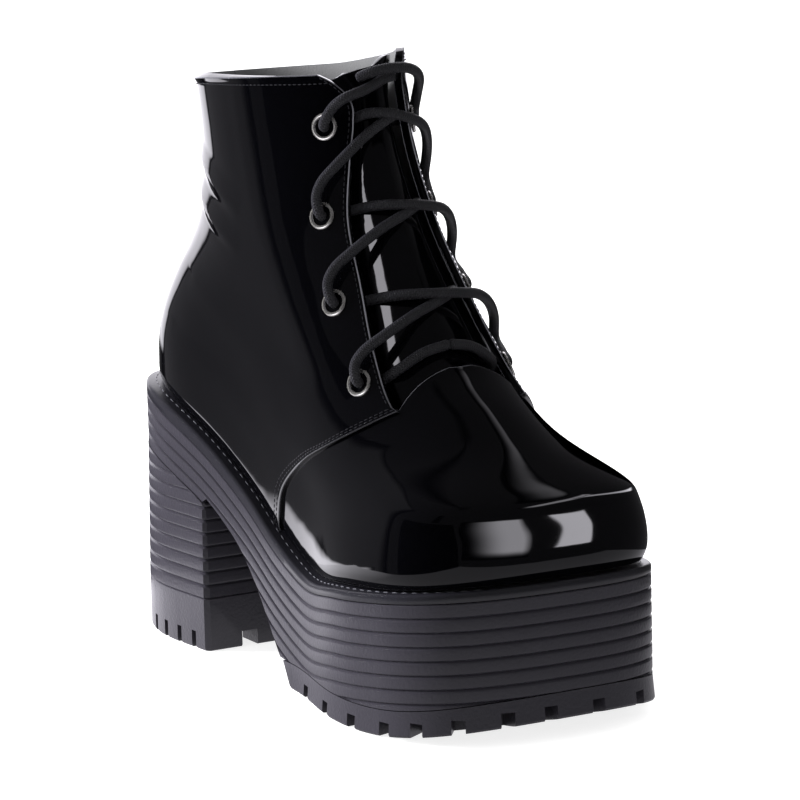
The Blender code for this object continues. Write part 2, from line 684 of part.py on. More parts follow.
def turned(name, profile, sides, look=None, guide=False):
    """Profile of radii and heights, turned about Z."""
    bm = bmesh.new()
    verts = [bm.verts.new((radius * 0.001, 0, height * 0.001)) for radius, height in profile]
    for start, end in zip(verts, verts[1:]):
        bm.edges.new((start, end))
    mesh = bpy.data.meshes.new(name)
    bm.to_mesh(mesh)
    bm.free()
    item = new_object(name, mesh, look, guide)
    screw = item.modifiers.new("turn", "SCREW")
    screw.steps = screw.render_steps = sides
    screw.use_merge_vertices = True
    screw.merge_threshold = 0.00005
    return item


def stand_on(item, centre, normal):
    item.location = centre
    item.rotation_mode = "QUATERNION"
    item.rotation_quaternion = normal.to_track_quat("Z", "Y")


def build_eyelets(last, upper):
    face = EYELET_SEAT + EYELET_FLANGE
    lip = (EYELET_BORE, EYELET_SEAT + EYELET_LIP)
    ring_profile = [lip, (EYELET_OUTER - EYELET_ROUND, face), (EYELET_OUTER, EYELET_SEAT),
                    (EYELET_BARREL, EYELET_SEAT), (EYELET_BARREL, -EYELET_REACH),
                    (EYELET_BORE, -EYELET_REACH), lip]
    depth = 2 * EYELET_REACH
    hole_profile = [(0, depth), (EYELET_HOLE, depth), (EYELET_HOLE, -depth), (0, -depth)]
    for number, row in enumerate(EYELETS, start=1):
        for side, word in ((-1, "lateral"), (1, "medial")):
            centre, normal = eyelet_frame(last, row, side)
            ring = turned(f"eyelet_{word}_{number}", ring_profile, EYELET_SIDES, "eyelet_metal")
            stand_on(ring, centre, normal)
            hole = turned(f"hole_{word}_{number}", hole_profile, EYELET_SIDES, guide=True)
            stand_on(hole, centre, normal)
            boolean(upper, hole, "DIFFERENCE")


# ---------------------------------------------------------------- tongue and lace
def build_tongue(last):
    front = SIDE_COLUMNS - 1
    columns = np.arange(front - TONGUE_SPREAD, front + TONGUE_SPREAD + 1)
    strip = (slice(last.throat_row - 2, None), columns)
    skin = last.grid[strip]
    normals = last.normals[strip]
    aside = np.abs(skin[..., 0]) - throat_half(skin[..., 2])
    sunk = np.clip(1 + aside / TONGUE_SLOPE, 0, 1)[..., None]
    face = skin - normals * (TONGUE_DROP + (TONGUE_DROP_SIDE - TONGUE_DROP) * sunk)
    back = face - normals * TONGUE_THICKNESS
    rows, width = face.shape[:2]
    points = np.concatenate([face.reshape(-1, 3), back.reshape(-1, 3)])
    other = rows * width
    faces = []
    for r in range(rows - 1):
        for c in range(width - 1):
            a = r * width + c
            quad = (a, a + 1, a + width + 1, a + width)
            faces += [quad, tuple(other + k for k in reversed(quad))]
    border = list(range(width)) + [(r + 1) * width - 1 for r in range(1, rows)]
    border += [(rows - 1) * width + c for c in range(width - 2, -1, -1)]
    border += [r * width for r in range(rows - 2, 0, -1)]
    for a, b in zip(border, border[1:] + border[:1]):
        faces.append((a, b, other + b, other + a))
    return solid("tongue", points, faces, "patent_leather")


def smooth_route(points):
    """Points every few millimetres on a smooth curve through a route's own points."""
    points = np.array(points, float)
    steps = np.linalg.norm(np.diff(points, axis=0), axis=1)
    along = np.concatenate([[0], np.cumsum(steps)])
    at = np.linspace(0, along[-1], int(round(along[-1] / LACE_STEP)) + 1)
    return np.stack([smooth_through(along, axis)(at) for axis in points.T], axis=1)


def strand(name, last, rows, guide=False):
    """Round lace along a route given over the last, as a closed mesh."""
    route = []
    for row in rows:
        point, normal = last.at_height(row.x, row.z)
        route.append(point + normal * row.height)
    points = smooth_route(route)
    curve = bpy.data.curves.new(name, "CURVE")
    curve.dimensions = "3D"
    curve.bevel_depth = LACE_RADIUS * 0.001
    curve.bevel_resolution = 2
    curve.use_fill_caps = True
    spline = curve.splines.new("POLY")
    spline.points.add(len(points) - 1)
    for knot, point in zip(spline.points, points):
        knot.co = (*place(*point), 1)
    path = bpy.data.objects.new(name + "_path", curve)
    collection("platform_shoe").objects.link(path)
    evaluated = path.evaluated_get(bpy.context.evaluated_depsgraph_get())
    mesh = bpy.data.meshes.new_from_object(evaluated)
    bm = bmesh.new()
    bm.from_mesh(mesh)
    bmesh.ops.remove_doubles(bm, verts=bm.verts, dist=1e-6)
    bmesh.ops.recalc_face_normals(bm, faces=bm.faces)
    bm.to_mesh(mesh)
    bm.free()
    mesh.materials.clear()
    bpy.data.objects.remove(path, do_unlink=True)
    return new_object(name, mesh, "waxed_cord", guide)


def between_eyelets(start, end, side, rows):
    """A strand's own route from the eyelet on one side to the opposite one, a row higher."""
    route = []
    for row in rows:
        x = start.half_width - row.across * (start.half_width + end.half_width)
        z = start.z + row.up * (end.z - start.z)
        route.append(RouteRow(side * x, z, row.height))
    return route


def build_lace(last):
    strand("lace_bar", last, BAR)
    crossings = [(between_eyelets(start, end, 1, OVER_STRAND),
                  between_eyelets(start, end, -1, UNDER_STRAND))
                 for start, end in zip(EYELETS, EYELETS[1:])]
    crossings.append((TOP_OVER, TOP_UNDER))
    for number, (over, under) in enumerate(crossings, start=1):
        piece = strand(f"lace_crossing_{number}", last, over)
        boolean(piece, strand(f"lace_under_{number}", last, under, guide=True), "UNION")


def main():
    clear_scene()
    last = Last()
    build_platform()
    build_heel_block()
    build_heel_top_piece()
    build_forefoot_tread()
    build_welt()
    build_insole()
    upper = build_upper(last)
    build_eyelets(last, upper)
    weld(upper)
    build_tongue(last)
    build_lace(last)


main()
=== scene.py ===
"""Dressed model of a platform lace-up ankle shoe, right foot, standing empty on its sole.

A point of the shoe is (x, s, z) in millimetres: x runs from the lateral side (minus) to the
medial side (plus), s runs forward from the back of the heel, and z runs up from the floor.
"""
from collections import namedtuple
from math import pi, radians

import bmesh
import bpy
import numpy as np
from mathutils import Euler, Matrix, Vector


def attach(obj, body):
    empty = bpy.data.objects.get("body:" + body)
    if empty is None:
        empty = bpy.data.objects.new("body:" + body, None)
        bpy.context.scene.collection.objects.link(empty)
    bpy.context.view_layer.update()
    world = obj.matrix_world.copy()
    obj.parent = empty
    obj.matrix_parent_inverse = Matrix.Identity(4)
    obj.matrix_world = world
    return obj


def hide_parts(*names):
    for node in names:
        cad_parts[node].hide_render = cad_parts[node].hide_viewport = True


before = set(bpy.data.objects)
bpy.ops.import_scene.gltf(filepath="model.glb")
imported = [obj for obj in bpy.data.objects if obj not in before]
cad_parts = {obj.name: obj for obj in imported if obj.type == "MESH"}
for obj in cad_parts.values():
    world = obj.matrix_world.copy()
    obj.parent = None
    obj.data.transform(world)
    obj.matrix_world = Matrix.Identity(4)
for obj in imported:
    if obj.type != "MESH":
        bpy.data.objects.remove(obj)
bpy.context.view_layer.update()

# ------ studio
# Pale seamless floor under an even white sky.  Patent leather mirrors only what hangs around it:
# a dim room with a white wall behind the shoe, soft boxes ahead of the toe and above it.
FLOOR_HALF = 12.0       # metres
FLOOR_DROP = 0.0003     # the floor and the paper lie just under the sole
PAPER_DROP = 0.001
CARD_CENTRE = Vector((0, 0, 0.1))
CARD_STEPS = 32
CARD_TINT = (0.95, 0.93, 1.0)


class Wire:
    """A socket of a material that adds and multiplies like a number."""

    def __init__(self, recipe, socket):
        self.recipe, self.socket = recipe, socket

    def __add__(self, other):
        return self.recipe.maths("ADD", self, other)

    __radd__ = __add__

    def __sub__(self, other):
        return self.recipe.maths("SUBTRACT", self, other)

    def __rsub__(self, other):
        return self.recipe.maths("SUBTRACT", other, self)

    def __mul__(self, other):
        return self.recipe.maths("MULTIPLY", self, other)

    __rmul__ = __mul__


class Recipe:
    """A material under construction."""

    def __init__(self, name, colour, roughness, **plain):
        self.material = bpy.data.materials.new(name)
        self.material.use_nodes = True
        self.tree = self.material.node_tree
        self.shader = self.tree.nodes["Principled BSDF"]
        for key, value in {"Base_Color": (*colour, 1), "Roughness": roughness, **plain}.items():
            self.shader.inputs[key.replace("_", " ")].default_value = value

    def feed(self, socket, value):
        if isinstance(value, Wire):
            self.tree.links.new(value.socket, socket)
        else:
            socket.default_value = value

    def node(self, kind, settings, sockets, output=0):
        made = self.tree.nodes.new(kind)
        for key, value in settings.items():
            if key == "stops":
                elements = made.color_ramp.elements
                while len(elements) < len(value):
                    elements.new(1.0)
                for element, (place, colour) in zip(elements, value):
                    element.position, element.color = place, colour
            else:
                setattr(made, key, value)
        for key, value in sockets.items():
            self.feed(made.inputs[key], value)
        return Wire(self, made.outputs[output])

    def maths(self, operation, *values):
        return self.node("ShaderNodeMath", {"operation": operation}, dict(enumerate(values)))

    def place(self):
        return self.node("ShaderNodeTexCoord", {}, {}, output="Object")

    def noise(self, scale, detail=2.0):
        sockets = {"Vector": self.place(), "Scale": scale, "Detail": detail}
        return self.node("ShaderNodeTexNoise", {}, sockets)

    def bump(self, height, distance):
        relief = self.node("ShaderNodeBump", {}, {"Height": height, "Distance": distance})
        self.feed(self.shader.inputs["Normal"], relief)


def new_object(name, data):
    made = bpy.data.objects.new(name, data)
    bpy.context.scene.collection.objects.link(made)
    return made


def new_piece(name, mesh, *materials):
    made = new_object(name, mesh)
    mesh.materials.clear()
    for each in materials:
        mesh.materials.append(each)
    return made


def quads(rows, columns, closed):
    """Faces of a grid of points; a closed grid joins its last column to its first."""
    index = np.arange(rows * columns).reshape(rows, columns)
    if closed:
        index = np.column_stack([index, index[:, 0]])
    corners = index[:-1, :-1], index[:-1, 1:], index[1:, 1:], index[1:, :-1]
    return np.stack(corners, axis=-1).reshape(-1, 4).tolist()


def grid_mesh(name, grid, closed=False):
    """Mesh from rows of points in metres."""
    faces = quads(*grid.shape[:2], closed)
    mesh = bpy.data.meshes.new(name)
    mesh.from_pydata(grid.reshape(-1, 3).tolist(), [], faces)
    mesh.polygons.foreach_set("use_smooth", [True] * len(faces))
    return mesh


def out_from_shoe(azimuth, elevation):
    """Direction from the shoe at an azimuth, nought ahead of the toe, and an elevation."""
    a, e = radians(azimuth), radians(elevation)
    return Vector((np.sin(a) * np.cos(e), -np.cos(a) * np.cos(e), np.sin(e)))


# The floor is a lit white table, so that next to no shadow lies on it.
white_floor = Recipe("white_floor", (0.40, 0.40, 0.40), 0.9, Emission_Color=(1, 1, 1, 1),
                     Emission_Strength=0.8)
corners = np.array([[(x, y, -FLOOR_DROP) for x in (-FLOOR_HALF, FLOOR_HALF)]
                    for y in (-FLOOR_HALF, FLOOR_HALF)])
floor = new_piece("floor", grid_mesh("floor", corners), white_floor.material)
floor.visible_glossy = False

sky = bpy.data.worlds.new("white_sky")
sky.use_nodes = True
sky.node_tree.nodes["Background"].inputs["Color"].default_value = (1.0, 1.0, 1.0, 1)
sky.node_tree.nodes["Background"].inputs["Strength"].default_value = 1.3
sky.cycles_visibility.glossy = False
bpy.context.scene.world = sky


def glowing(name, grid, glow, share):
    """Glowing surface that only mirrors see; a share for each point dims it."""
    recipe = Recipe(name, (0, 0, 0), 1.0, Specular_IOR_Level=0.0, Emission_Strength=glow)
    made = new_piece(name, grid_mesh(name, grid), recipe.material)
    layer = made.data.attributes.new("share", "FLOAT", "POINT")
    layer.data.foreach_set("value", share.reshape(-1))
    fade = recipe.node("ShaderNodeAttribute", {"attribute_name": "share"}, {}, output="Fac")
    tinted = recipe.node("ShaderNodeVectorMath", {"operation": "SCALE"},
                         {0: CARD_TINT, "Scale": fade})
    recipe.feed(recipe.shader.inputs["Emission Color"], tinted)
    made.visible_camera = made.visible_diffuse = made.visible_shadow = False
    return made


def faded(count, start, end):
    """Shares along a card's side, easing from nought over its first and last parts."""
    t = np.linspace(0, 1, count)
    ramps = np.clip(np.minimum(t / max(start, 1e-6), (1 - t) / max(end, 1e-6)), 0, 1)
    return (ramps * ramps * (3 - 2 * ramps)) ** 2


def card(name, azimuths, elevations, distance, glow, lean=0.0, soft=(0, 0, 0, 0)):
    """Glowing panel bent round the shoe.  Its azimuths lean with the elevation, and soft gives
    the parts of its width and height over which its four edges fade."""
    grid = []
    for e in np.linspace(*elevations, CARD_STEPS):
        turn = lean * (e - elevations[0])
        grid.append([tuple(out_from_shoe(a + turn, e) * distance + CARD_CENTRE)
                     for a in np.linspace(*azimuths, CARD_STEPS)])
    share = np.outer(faded(CARD_STEPS, *soft[2:]), faded(CARD_STEPS, *soft[:2]))
    return glowing(name, np.array(grid), glow, share)


def mirrored_by_few(*cards):
    """Collection of the pieces that mirror some cards; they join it as they are made."""
    pieces = bpy.data.collections.new(f"{cards[0].name}_pieces")
    for each in cards:
        each.light_linking.receiver_collection = pieces
    return pieces


def table(columns, *values):
    """Rows of a table whose columns have names."""
    kind = namedtuple("Row", columns)
    return [kind(*each) for each in values]


# White paper under the shoe, bright behind it and shaded ahead of the toe.
PAPER = table("y half_width share", (-0.32, 0.20, 0.17), (0.0, 0.18, 0.20), (0.10, 0.18, 0.55),
              (0.17, 0.18, 0.8))
sheet = np.array([[(side * row.half_width, row.y, -PAPER_DROP) for side in (-1, 1)]
                  for row in PAPER])
shade = np.array([[row.share] * 2 for row in PAPER])
paper = glowing("paper", sheet, 3.0, shade)
room = card("room", (-180, 180), (-90, 90), 8.0, 0.07)
white_wall = card("white_wall", (130, 185), (-8, 40), 3.0, 2.0, 0, (0, 0.04, 0, 0))
grey_wall = card("grey_wall", (186, 230), (-30, 50), 3.0, 0.17, 0, (0, 0.2, 0, 0))
toe_cards = [card("toe_box_left", (-36, 12), (-7, 29), 1.6, 7.0, 0.2, (0.8, 0.05, 0.25, 0.1)),
             card("toe_box_right", (20, 31), (0, 29), 1.6, 11.0, 0.25, (0.1, 0.1, 0, 0)),
             card("crest_box_top", (35, 76), (50, 56), 1.6, 4.0, 0, (0.2, 0, 0.3, 0.3)),
             card("crest_box_side", (112, 126), (6, 53), 1.6, 5.0, -1.17, (0.3, 0.3, 0.2, 0)),
             card("high_sheet", (60, 125), (58, 66), 1.7, 1.1, 0, (0.4, 0.4, 0.2, 0.8))]
eyelet_box = card("eyelet_box", (-120, -40), (-40, 20), 7.0, 4.0, 0, (0.5, 0.5, 0.4, 0.5))
low_box = card("low_box", (-182, -138), (-26, -13.8), 1.6, 3.0, 0, (0.1, 0.1, 0, 0.05))
tongue_box = card("tongue_box", (-72, -60), (24, 58), 1.6, 9.0, 0, (0.1, 0.1, 0, 0.1))
mirrors_white_wall = mirrored_by_few(white_wall)        # every piece but the vamp
mirrors_toe_cards = mirrored_by_few(*toe_cards)
mirrors_low_box = mirrored_by_few(low_box)
mirrors_eyelet_box = mirrored_by_few(eyelet_box)
mirrors_tongue_box = mirrored_by_few(tongue_box)

# Square soft lamp for the rubber and the floor; the leather doesn't mirror it.
lamp_data = bpy.data.lights.new("side_lamp", "AREA")
lamp_data.size = 1.0
lamp_data.energy = 260
lamp = new_object("side_lamp", lamp_data)
toward_lamp = out_from_shoe(-140, 16)
lamp.location = toward_lamp * 1.6
lamp.rotation_mode = "QUATERNION"
lamp.rotation_quaternion = toward_lamp.to_track_quat("Z", "Y")
lamp.visible_camera = lamp.visible_glossy = False

# The camera looks from ahead on the lateral side, a little above the shoe.
camera_data = bpy.data.cameras.new("camera")
camera_data.lens = 165
camera_data.clip_start = 0.05
camera = new_object("camera", camera_data)
camera.location = (-0.6092, -1.0865, 0.3216)
camera.rotation_euler = [radians(angle) for angle in (79.60, 1.38, -29.90)]
bpy.context.scene.camera = camera
bpy.context.scene.view_settings.view_transform = "Standard"

# ------ last
# The wooden last gives the form of every piece of the upper: closed rings from the sole's
# ledge to the collar.  Leather lies on it at a few tenths of a millimetre to a few millimetres.
LENGTH = 241.5
CENTRE_S = 120.6
CENTRE_X = 2.1
TOE_SKEW = 3.0          # by which the medial side of the toe runs further forward
SKEW_FROM, SKEW_RUN = 150, 90
MEDIAL_SLIM = 0.09
DRIFT = ((0.35, -1.2), (0.75, 2.2))     # the middle line moves over toward the ball
COLLAR_DROP = 2.5       # at the lateral corner in front
COLLAR_RISE = 5.0       # at the medial corner in front
SOLE_SIDE = table("s wall_top rim", (0, 85.8, 5.0), (14, 86.2, 5.0), (32, 84.6, 5.0),
                  (60, 76.0, 5.0), (100, 57.0, 4.8), (122, 45.0, 4.5), (142, 38.6, 4.0),
                  (180, 41.5, 3.5), (242, 48.8, 3.5))
RING_COLUMNS = ("back_s back_z front_s front_z follow heel waist instep ball toe "
                "round_back round_front square_back square_front")
HALF_WIDTHS_AT = [0, 0.18, 0.38, 0.57, 0.75, 0.93, 1.0]
SOLE_PLAN = table(
    RING_COLUMNS,
    (0, 0, LENGTH, 0, 1.0, 41.8, 39.0, 42.3, 51.2, 47.0, 0.21, 0.16, 2.4, 2.5))[0]
UPPER_RINGS = table(
    RING_COLUMNS,
    (4.9, 91.4, 238.2, 52.6, 1.00, 36.7, 34.3, 38.3, 47.3, 45.2, 0.21, 0.16, 2.4, 2.7),
    (4.5, 99.0, 239.5, 59.5, 1.00, 37.0, 34.6, 38.5, 47.8, 46.0, 0.22, 0.16, 2.4, 2.7),
    (4.5, 107.0, 238.0, 68.5, 0.95, 37.0, 34.8, 38.5, 46.8, 45.6, 0.23, 0.16, 2.4, 2.8),
    (5.5, 115.0, 233.5, 77.5, 0.85, 36.5, 35.0, 38.0, 44.8, 44.0, 0.25, 0.16, 2.4, 3.0),
    (8.5, 124.0, 214.0, 89.5, 0.70, 35.5, 34.5, 36.5, 39.5, 35.5, 0.28, 0.25, 2.3, 2.3),
    (13.0, 134.0, 197.5, 101.5, 0.50, 34.0, 33.8, 34.6, 35.0, 32.5, 0.32, 0.31, 2.2, 2.1),
    (17.5, 143.0, 180.5, 113.5, 0.30, 32.5, 33.0, 33.5, 34.0, 33.5, 0.38, 0.30, 2.1, 2.0),
    (21.0, 153.0, 168.0, 131.0, 0.12, 31.0, 32.0, 32.5, 32.5, 32.5, 0.43, 0.36, 2.0, 1.8),
    (24.5, 166.0, 152.0, 155.0, 0.00, 29.5, 30.5, 31.0, 31.0, 30.0, 0.47, 0.42, 2.0, 1.7),
    (26.0, 183.0, 138.5, 182.0, 0.00, 29.0, 29.5, 29.5, 29.5, 29.5, 0.46, 0.45, 2.0, 1.7),
    (24.5, 200.0, 132.0, 210.5, 0.00, 30.0, 30.0, 30.0, 30.0, 30.0, 0.46, 0.46, 2.0, 1.7))
SIDE_COLUMNS = 141      # points along each side of a ring
EASING_PASSES = 12
FRONT_FROM = 95         # station from which a point of the last is at its front
ROUNDED_PART = 0.3      # share of a side's points that go round each of its ends
ROWS_A_RING = 16        # rows from one ring of the table to the next
CREST_RING = 3          # the toe box breaks from its top to its front along this ring
CREST_SHARPNESS = 0.9
CREST_FROM, CREST_RUN = 205, 18


def bent(t, a, b, slope_a, slope_b):
    """Cubic from a to b, leaving and arriving at two slopes."""
    return ((2 * t**3 - 3 * t**2 + 1) * a + (t**3 - 2 * t**2 + t) * slope_a
            + (3 * t**2 - 2 * t**3) * b + (t**3 - t**2) * slope_b)


def smooth_through(stations, values):
    """Function on a smooth curve through the given values."""
    xs = np.array(stations, float)
    ys = np.array(values, float)
    slopes = np.gradient(ys, xs)

    def value(x):
        x = np.clip(x, xs[0], xs[-1])
        i = np.clip(np.searchsorted(xs, x, side="right") - 1, 0, len(xs) - 2)
        h = xs[i + 1] - xs[i]
        return bent((x - xs[i]) / h, ys[i], ys[i + 1], h * slopes[i], h * slopes[i + 1])
    return value


stations, tops, rims = zip(*SOLE_SIDE)
wall_top, rim_height = smooth_through(stations, tops), smooth_through(stations, rims)


def ledge(s):
    """Top of the rim, where the upper stands."""
    return wall_top(s) + rim_height(s)


def ring_rails(row):
    """Fractions along a ring and half widths there, closed to nought at both ends."""
    v = np.linspace(0, 1, SIDE_COLUMNS)
    middle = (v - ROUNDED_PART) / (1 - 2 * ROUNDED_PART)
    back = row.round_back * (1 - np.cos(pi / 2 * v / ROUNDED_PART))
    front = 1 - row.round_front * (1 - np.cos(pi / 2 * (1 - v) / ROUNDED_PART))
    straight = row.round_back + (1 - row.round_front - row.round_back) * middle
    f = np.where(v < ROUNDED_PART, back, np.where(v > 1 - ROUNDED_PART, front, straight))
    half = smooth_through(HALF_WIDTHS_AT, [row.heel, row.heel, row.waist, row.instep, row.ball,
                                           row.toe, row.toe])
    rear = 1 - np.clip(1 - f / row.round_back, 0, 1) ** row.square_back
    front = 1 - np.clip(1 - (1 - f) / row.round_front, 0, 1) ** row.square_front
    return f, half(f) * rear ** (1 / row.square_back) * front ** (1 / row.square_front)


def ring_points(row):
    """Closed ring: lateral side forward, then medial side back, as x, s, z columns."""
    f, half = ring_rails(row)
    middle = np.interp(f, *zip(*DRIFT)) * np.sign(half) * row.follow
    lateral = np.stack([middle - half, f], axis=1)
    slim = 1 - MEDIAL_SLIM * (1 - row.follow)
    medial = np.stack([middle + half * slim, f], axis=1)[-2:0:-1]
    x, f = np.concatenate([lateral, medial]).T
    s = row.back_s + (row.front_s - row.back_s) * f
    s = s + TOE_SKEW * (x / 45) * np.clip((s - SKEW_FROM) / SKEW_RUN, 0, 1) ** 2
    straight = row.back_z + (row.front_z - row.back_z) * f
    lift = (row.back_z - ledge(row.back_s)) * (1 - f) + (row.front_z - ledge(row.front_s)) * f
    z = row.follow * (ledge(s) + lift) + (1 - row.follow) * straight
    return np.stack([x, s, z], axis=1)


def unit(v):
    return v / np.maximum(np.linalg.norm(v, axis=-1, keepdims=True), 1e-9)


def last_grid():
    """Rows of points from the ledge to the collar."""
    keys = np.array([ring_points(row) for row in UPPER_RINGS])
    x, s, z = keys[-1].T
    z += np.interp(x, (-15, 0, 15), (-COLLAR_DROP, 0, COLLAR_RISE)) * np.clip(s / 60 - 1, 0, 1)
    rows = len(keys)
    flat = keys.reshape(rows, -1)
    levels = np.linspace(0, rows - 1, (rows - 1) * ROWS_A_RING + 1)
    slopes = np.gradient(flat, axis=0)
    i = np.clip(levels.astype(int), 0, rows - 2)
    t = (levels - i)[:, None]
    grid = bent(t, flat[i], flat[i + 1], slopes[i], slopes[i + 1]).reshape(len(levels), -1, 3)
    straight = (flat[i] + t * (flat[i + 1] - flat[i])).reshape(grid.shape)
    near = np.clip(1.6 - np.abs(levels - CREST_RING), 0, 1)[:, None]
    ahead = np.clip((straight[..., 1] - CREST_FROM) / CREST_RUN, 0, 1)
    medial = 0.5 + 0.5 * np.clip(straight[..., 0] / 18, -0.4, 1)
    share = CREST_SHARPNESS * near * ahead * medial
    return grid + share[..., None] * (straight - grid)


def eased(grid):
    """Rows drawn towards their neighbours, so that no ring of the table shows in the shine."""
    for _ in range(EASING_PASSES):
        grid = grid.copy()
        grid[1:-1] += 0.25 * (grid[:-2] - 2 * grid[1:-1] + grid[2:])
        grid += 0.25 * (np.roll(grid, 1, axis=1) - 2 * grid + np.roll(grid, -1, axis=1))
    return grid


def normals_of(grid):
    around = np.roll(grid, -1, axis=1) - np.roll(grid, 1, axis=1)
    made = unit(np.cross(around, np.gradient(grid, axis=0)))
    if ((grid - grid.mean(axis=1, keepdims=True)) * made).sum() < 0:
        made = -made
    return made


def in_metres(points):
    """Points of the shoe in metres, toe toward -Y."""
    return (np.asarray(points, float) - (CENTRE_X, CENTRE_S, 0)) * (0.001, -0.001, 0.001)


# Walking creases: soft ridges (or troughs) between two points of the side view.
CREASE_UPPER = 1.5      # a ridge falls off gently above and steeply below
CREASE_LOWER = 0.7
CREASES = table("side s_from z_from s_to z_to height width",
                (-1, 36, 175, 88, 158, 1.2, 5.0), (-1, 36, 162, 89, 145, 1.2, 4.6),
                (-1, 46, 114, 98, 100, -0.25, 8.0), (-1, 56, 130, 120, 103, 0.25, 9.0),
                (1, 44, 181, 86, 160, 0.7, 5.0), (1, 48, 166, 92, 144, -0.7, 5.0),
                (1, 46, 132, 102, 106, 0.35, 8.0))
TUCK_HEIGHT = 5.5       # the leather turns in under itself where it meets the rim
TUCK_RADIUS = 14.0
LIP_HEIGHT = 3.5        # the collar's edge turns outward a little at the back
LIP_REACH = 1.1
LIP_END, LIP_RUN = 105, 40


def crease_lift(points):
    lift = np.zeros(points.shape[:-1])
    x, s, z = points[..., 0], points[..., 1], points[..., 2]
    for row in CREASES:
        ds, dz = row.s_to - row.s_from, row.z_to - row.z_from
        share = np.clip(((s - row.s_from) * ds + (z - row.z_from) * dz) / (ds**2 + dz**2), 0, 1)
        away = (s - row.s_from - share * ds) ** 2 + (z - row.z_from - share * dz) ** 2
        above = (z - row.z_from) * ds - (s - row.s_from) * dz > 0
        width = row.width * np.where(above, CREASE_UPPER, CREASE_LOWER)
        reach = np.clip(1 - np.sqrt(away) / width, 0, 1)
        lift += np.where(np.sign(x) == row.side, row.height * (1 - share**2.5), 0) * reach
    return lift


def worked(grid):
    """The last's rows with creases, the tuck at the rim and the collar's lip."""
    normals = normals_of(grid)
    above = grid[..., 2] - ledge(grid[..., 1])
    low = np.clip(TUCK_HEIGHT - above, 0, TUCK_HEIGHT)
    tuck = TUCK_RADIUS - np.sqrt(TUCK_RADIUS ** 2 - low ** 2)
    top = grid[-1:, :, 2]
    lip = np.clip(1 - (top - grid[..., 2]) / LIP_HEIGHT, 0, 1) ** 2
    lip = lip * np.clip((LIP_END - grid[..., 1]) / LIP_RUN, 0, 1)
    moved = crease_lift(grid) - tuck + LIP_REACH * lip
    return grid + normals * moved[..., None]


last = worked(eased(last_grid()))
last_normals = normals_of(last)
LAST_FRONT = SIDE_COLUMNS - 1       # column down the middle of the front


def row_of(level):
    """Row of the last at a ring number of the table."""
    return int(round(level * ROWS_A_RING))


# ------ patent leather
# Black patent leather: split hide under a poured clear film.  The film mirrors like glass with
# a faint swell from the hide below.
leather = Recipe("patent_leather", (0.0004, 0.0004, 0.0006), 0.045, IOR=1.42)
leather.bump(leather.noise(45.0), 0.00013)
lining = Recipe("lining", (0.05, 0.05, 0.052), 0.8)
lining.bump(lining.noise(1500.0, 3.0), 0.0002)

# Where the film is folded over an edge it is a little dull; its grey there is a painted highlight,
# grey from about 118 to 190 mm up and dark below and above.
edge_film = Recipe("edge_film", (0.02, 0.02, 0.022), 0.25)
height = edge_film.node("ShaderNodeSeparateXYZ", {}, {0: edge_film.place()}, output="Z")
# Painted highlight: the folded edges turn grey in a band of height, where the facings run, and
# stay dark below and above.
painted_edge_highlight = edge_film.node("ShaderNodeValToRGB",
                      {"stops": ((0.100, (0.012, 0.012, 0.014, 1)),
                                 (0.118, (0.11, 0.11, 0.125, 1)),
                                 (0.190, (0.11, 0.11, 0.125, 1)),
                                 (0.203, (0.03, 0.03, 0.035, 1)))}, {0: height})
edge_film.feed(edge_film.shader.inputs["Base Color"], painted_edge_highlight)


def clothed(name, grid, thickness, edge):
    """Leather piece: its outer face as a grid, backed by its thickness, with rounded edges."""
    mesh = grid_mesh(name, in_metres(grid))
    made = new_piece(name, mesh, leather.material, lining.material, edge_film.material)
    wall = made.modifiers.new("thickness", "SOLIDIFY")
    wall.thickness = thickness * 0.001
    wall.offset = -1
    wall.use_even_offset = False
    wall.material_offset = 1
    wall.material_offset_rim = 0
    rounding = made.modifiers.new("rounded_edges", "BEVEL")
    rounding.width = edge * 0.001
    rounding.segments = 3
    rounding.material = 2
    rounding.limit_method = "ANGLE"
    rounding.angle_limit = radians(50)
    return made


# ------ vamp
# Forepart of the upper in one piece of lined patent leather, lasted over the toe.  Its rear
# edges are tucked under the quarters.
WALL = 1.9              # thickness of leather and lining
SEAM_TUCK = 9.0         # by which the vamp runs on under a quarter
THROAT_LINE = 180.0     # the vamp ends straight across the throat at this station,
THROAT_RING = 5         # no lower than this ring of the table
VAMP_TOP_RING = 6       # and no higher than this one
QUARTER_SEAM = table("z s", (40, 118), (55, 120), (69, 126), (80, 142), (91, 165), (101, 181))
THROAT = table("z half_width", (88, 24.0), (104, 23.8), (120, 21.9), (140, 18.7), (160, 16.2),
               (180, 12.0), (192, 9.8), (200, 9.6), (204, 11.2), (207, 13.8), (210, 18.0),
               (213, 24.0))
seam_station = smooth_through(*zip(*QUARTER_SEAM))
throat_half = smooth_through(*zip(*THROAT))


def past_edge(points):
    """Above nought where a point of the last is in front of the quarter's edge."""
    x, s, z = points[..., 0], points[..., 1], points[..., 2]
    seam = s - seam_station(z)
    raised = np.where(x > 0, COLLAR_RISE, -COLLAR_DROP) * np.clip((z - 180) / 20, 0, 1)
    throat = np.where(s > FRONT_FROM, throat_half(z - raised) - np.abs(x), -1.0)
    return np.where(z < QUARTER_SEAM[-1].z, seam, throat)


def side_of_row(row, side):
    """Points and normals of a row from the back to the front along one side."""
    columns = np.arange(SIDE_COLUMNS)
    if side > 0:
        columns = (-columns) % last.shape[1]
    return last[row, columns], last_normals[row, columns]


def distances(points):
    """Distance of each point along the line through them."""
    steps = np.linalg.norm(np.diff(points, axis=0), axis=1)
    return np.concatenate([[0], np.cumsum(steps)])


def read_at(along, values, stations):
    """Columns of values, known at some distances along a line, at other distances."""
    return np.stack([smooth_through(along, each)(stations) for each in values.T], axis=1)


def resampled(points, normals, stations):
    """Points and normals of a row at distances along it."""
    along = distances(points)
    return read_at(along, points, stations), unit(read_at(along, normals, stations))


